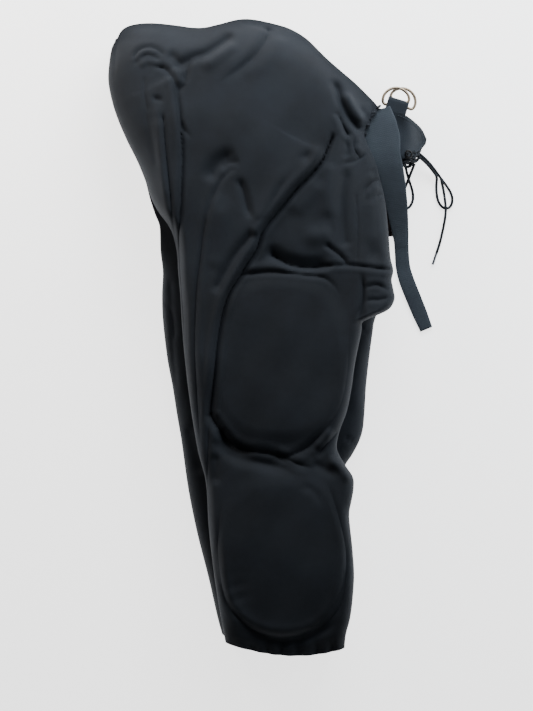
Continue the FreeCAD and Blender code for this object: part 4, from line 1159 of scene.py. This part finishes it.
def d_ring(name, node, body, centre, lean, rise, sides=14):
    """A D-shaped wire ring: its straight bar lies in the webbing loop and its bow stands out past it."""
    half = [(0, 0), (6, 0), (11.5, 0), (14.2, 1.2), (15.2, 4.5), (14.2, 9), (11.2, 13.2), (6.3, 16.6),
            (0, 18)]
    shape = np.array(half + [(-x, y) for x, y in half[-2:0:-1]])
    closed = through(np.vstack([shape[-2:], shape, shape[:3]]), 12 * (len(shape) + 5))
    spans = np.linspace(0, len(shape) + 4, len(closed))
    v = closed[(spans >= 2) & (spans < len(shape) + 2)]
    turn = math.radians(lean)
    x = centre[0] + v[:, 0] * math.cos(turn) - v[:, 1] * math.sin(turn)
    y = centre[1] + v[:, 0] * math.sin(turn) + v[:, 1] * math.cos(turn)
    line = np.column_stack([x, y, np.full(len(v), rise)])
    run = np.roll(line, -1, 0) - np.roll(line, 1, 0)
    run /= np.linalg.norm(run, axis=1)[:, None]
    side = np.cross(run, (0, 0, 1.0))
    around = np.linspace(0, 2 * np.pi, sides, endpoint=False)
    grid = line[:, None] + RING_WIRE / 2 * (np.cos(around)[None, :, None] * side[:, None]
                                            + np.sin(around)[None, :, None] * np.array([0, 0, 1.0]))
    faces = grid_faces(len(v), sides, True)
    last = (len(v) - 1) * sides
    faces += [(last + i, last + (i + 1) % sides, (i + 1) % sides, i) for i in range(sides)]
    points = grid.reshape(-1, 3)
    faces = turned_out(points, faces, faces, 0, points[0] - line[0])
    piece = wear(mesh_object(name, points, faces), RING_METAL)
    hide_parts(node)
    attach(piece, body)


d_ring("upper_ring_wire", "upper_d_ring", "upper_ring", (144.6, 268.6), 5, 27.9)
d_ring("lower_ring_wire", "lower_d_ring", "lower_ring", (150.2, 269.0), -31, 24.3)

# ---------------------------------------------------------------- hem elastic, tunnel mouth and stitching


HEM_INSET = 1.9


def hem_band(which, side, across=70):
    """The ribbed elastic inside a leg's hem, a little way in from the shell all round."""
    outer, inner = (near_height, near_floor) if which == "near" else (far_height, far_floor)
    back, front = (NEAR_BACK, NEAR_FRONT) if which == "near" else (FAR_BACK, FAR_FRONT)
    share = side_spread(across)
    rows = []
    for level in np.linspace(-347, -360.5, 7):
        x = back(level) + HEM_INSET + (front(level) - back(level) - 2 * HEM_INSET) * share
        flat = level + hem_lift(x) * ease(-310, HEM_FOOT, level)
        high, low = outer(x, flat), inner(x, flat)
        middle = (high.max() + low.min()) / 2
        top = np.column_stack([x, flat, np.maximum(high - HEM_INSET, middle + 0.2)])
        under = np.column_stack([x, flat, np.minimum(low + HEM_INSET, middle - 0.2)])[::-1][1:-1]
        rows.append(np.vstack([top, under]))
    grid = np.array(rows)
    points = grid.reshape(-1, 3)
    faces = grid_faces(len(grid), grid.shape[1], True)
    normals = vertex_normals(points, faces)
    if normals[across // 2, 2] < 0:
        faces = [face[::-1] for face in faces]
        normals = -normals
    uv = np.column_stack([np.tile(np.arange(grid.shape[1]) * 2.0, len(grid)), points[:, 1]])
    piece = wear(thick_cloth(f"{side}_hem_band", points, faces, normals, uv, 0.9), ELASTIC)
    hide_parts(f"{side}_hem_elastic")
    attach(piece, f"{side}_shin")


hem_band("near", "right")
hem_band("far", "left")


def tunnel_mouth(rings=120, sides=16):
    """The gathered cloth edge that the belt comes out of."""
    path = through([(124.5, 264, 47), (119, 257, 47.5), (112.5, 247.5, 48.5), (108, 238, 48),
                    (105.5, 229, 45.5), (108, 220, 42), (112, 210, 40)], rings)
    turn = np.linspace(0, 2 * np.pi, sides, endpoint=False)
    rows = []
    for k, centre in enumerate(path):
        gather = 1 + 0.22 * math.sin(k * 0.36) + 0.1 * math.sin(k * 0.83)
        taper = 0.35 + 0.65 * math.sin(math.pi * k / (rings - 1)) ** 0.5
        size = 2.9 * gather * taper
        wave = 1.3 * math.sin(k * 0.27)
        rows.append(np.column_stack([centre[0] + 0.5 * wave + size * np.cos(turn), np.full(sides, centre[1]),
                                     centre[2] + wave + 1.3 * size * np.sin(turn)]))
    grid = np.array(rows)
    points = grid.reshape(-1, 3)
    faces = grid_faces(rings, sides, True)
    faces += [tuple(range(sides))[::-1], tuple((rings - 1) * sides + i for i in range(sides))]
    faces = turned_out(points, faces, faces[:-2], 0, points[0] - path[0])
    piece = wear(mesh_object("tunnel_mouth", points, faces, points[:, :2]), KNIT)
    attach(piece, "seat")


tunnel_mouth()


STITCH = {"Spacing": 3.0 * MM, "Thread radius": 0.42 * MM, "Length": 3.1}


def stitch_nodes():
    """Geometry nodes that set small thread stitches along a line; Length is in thread radii."""
    group = bpy.data.node_groups.new("stitches", "GeometryNodeTree")
    group.interface.new_socket("Geometry", in_out="INPUT", socket_type="NodeSocketGeometry")
    group.interface.new_socket("Geometry", in_out="OUTPUT", socket_type="NodeSocketGeometry")
    for name in STITCH:
        group.interface.new_socket(name, in_out="INPUT", socket_type="NodeSocketFloat")
    start = group.nodes.new("NodeGroupInput").outputs
    line = add_node(group, "GeometryNodeMeshToCurve", {0: start["Geometry"]})
    points = add_node(group, "GeometryNodeCurveToPoints", {"Curve": line.outputs[0],
                                                           "Length": start["Spacing"]}, mode="LENGTH")
    ball = add_node(group, "GeometryNodeMeshUVSphere", {"Segments": 7, "Rings": 5,
                                                        "Radius": start["Thread radius"]})
    long = add_node(group, "ShaderNodeCombineXYZ", {0: 1.0, 1: 1.0, 2: start["Length"]})
    thread = add_node(group, "GeometryNodeTransform", {"Geometry": ball.outputs[0],
                                                       "Scale": long.outputs[0]})
    stitches = add_node(group, "GeometryNodeInstanceOnPoints", {
        "Points": points.outputs[0], "Instance": thread.outputs[0], "Rotation": points.outputs["Rotation"]})
    real = add_node(group, "GeometryNodeRealizeInstances", {"Geometry": stitches.outputs[0]})
    look = add_node(group, "GeometryNodeSetMaterial", {"Geometry": real.outputs[0], "Material": THREAD})
    add_node(group, "NodeGroupOutput", {0: look.outputs[0]})
    return group


STITCHES = stitch_nodes()


def stitch_row(name, plan, height, mount, lift=0.3):
    """A row of stitches over given plan points, at the height of the cloth below them."""
    run = through(plan, 16 * len(plan))
    line = np.column_stack([run, height(run[:, 0], run[:, 1]) + lift]) * MM
    mesh = bpy.data.meshes.new(name)
    mesh.from_pydata(line.tolist(), [(i, i + 1) for i in range(len(line) - 1)], [])
    guide = bpy.data.objects.new(name + "_line", mesh)
    bpy.context.scene.collection.objects.link(guide)
    sewing = guide.modifiers.new("stitches", "NODES")
    sewing.node_group = STITCHES
    for socket in STITCHES.interface.items_tree:
        if socket.name in STITCH:
            sewing[socket.identifier] = STITCH[socket.name]
    made = bpy.data.meshes.new_from_object(guide.evaluated_get(bpy.context.evaluated_depsgraph_get()))
    bpy.data.objects.remove(guide)
    row = bpy.data.objects.new(name, made)
    bpy.context.scene.collection.objects.link(row)
    mount(row)


def on_seat(piece):
    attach(piece, "seat")


def on_near_thigh(piece):
    across_hip(piece)


def on_near_shin(piece):
    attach(piece, "right_shin")


SIDE_SEAM = [(95.2, 176), (97.0, 150), (97.4, 123), (96.6, 98), (96, 84), (94.5, 72), (89.5, 62), (87.6, 50),
             (87.8, 30), (87.4, 8), (86, -14)]
stitch_row("side_seam_left_row", [(x - 1.4, y) for x, y in SIDE_SEAM], near_height, on_near_thigh)
stitch_row("side_seam_right_row", [(x + 1.4, y) for x, y in SIDE_SEAM], near_height, on_near_thigh)
stitch_row("pad_top_row", [(-20, 75), (0, 75), (22, 73.2), (42, 71.5), (60, 71)], near_height, on_near_thigh,
           0.15)
stitch_row("flap_edge_row", [(146, 252.5), (153, 250), (163.5, 244.5), (172, 238), (177.3, 230)],
           flap_height, on_seat)
stitch_row("flap_foot_row", [(156, 208.2), (162, 210.3), (168.5, 213.8), (173, 218.5), (177, 225)],
           flap_height, on_seat)
stitch_row("hem_row", [(-44, -346), (-20, -346), (10, -346), (40, -346), (78, -346)], near_height,
           on_near_shin)

# ---------------------------------------------------------------- the rest of the CAD nodes

# the ring strap and loop are webbing but wear the darker fly twill: a darker copy that is painted shade,
# because they face the window light while the belt webbing is painted paler
CAD_LOOKS = {
    "ring_strap": TWILL, "ring_loop": TWILL, "right_fly_facing": TWILL, "right_eyelets": EYELET_METAL,
}


def dress_cad_node(node, look):
    """Gives a CAD node its look, and a plan view as its UV map if the look is a cloth."""
    if look != EYELET_METAL:
        layer = node.data.uv_layers.new(name="cloth")
        for item, loop in zip(layer.data, node.data.loops):
            item.uv = node.data.vertices[loop.vertex_index].co.xy
    for slot in node.material_slots:
        slot.material = look


for node_name, look in CAD_LOOKS.items():
    dress_cad_node(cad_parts[node_name], look)

# ---------------------------------------------------------------- floor, light and camera

FLOOR_HALF, FLOOR_DROP = 2e4, -0.4
corners = [(-1, -1), (1, -1), (1, 1), (-1, 1)]
floor = mesh_object("floor", [(x * FLOOR_HALF, y * FLOOR_HALF, FLOOR_DROP) for x, y in corners],
                    [(0, 1, 2, 3)])
wear(floor, floor_material())


def soft_light(name, place, target, size, power, colour):
    """A rectangular soft light that faces a target; places and sizes are in metres."""
    data = bpy.data.lights.new(name, "AREA")
    data.shape, data.size, data.size_y = "RECTANGLE", size[0], size[1]
    data.energy, data.color = power, colour
    lamp = bpy.data.objects.new(name, data)
    lamp.location = place
    lamp.rotation_euler = (Vector(target) - Vector(place)).to_track_quat("-Z", "Y").to_euler()
    bpy.context.scene.collection.objects.link(lamp)


soft_light("window", (0.22, 0.86, 0.52), (0, 0.14, 0), (0.9, 0.4), 14.5, (0.93, 0.97, 1.0))
soft_light("side", (0.72, 0.16, 0.42), (0.05, 0.06, 0.05), (0.45, 0.45), 2.3, (0.9, 0.96, 1.0))
soft_light("room", (-0.62, 0.62, 0.42), (-0.15, 0.28, 0.05), (0.35, 0.35), 5.0, (1.0, 0.92, 0.84))
world = bpy.data.worlds.new("studio")
world.use_nodes = True
world.node_tree.nodes["Background"].inputs[0].default_value = (1, 1, 1, 1)
world.node_tree.nodes["Background"].inputs[1].default_value = 0.07
bpy.context.scene.world = world

# looks straight down, and sees FRAME_HEIGHT metres of the object at the height SEEN_AT
LENS, SENSOR = 85, 36
FRAME_HEIGHT, SEEN_AT = 0.81054, 0.05
camera_data = bpy.data.cameras.new("camera")
camera_data.lens, camera_data.sensor_width, camera_data.sensor_fit = LENS, SENSOR, "AUTO"
camera = bpy.data.objects.new("camera", camera_data)
camera.location = (-0.005, -0.022, SEEN_AT + FRAME_HEIGHT * LENS / SENSOR)
bpy.context.scene.collection.objects.link(camera)
bpy.context.scene.camera = camera
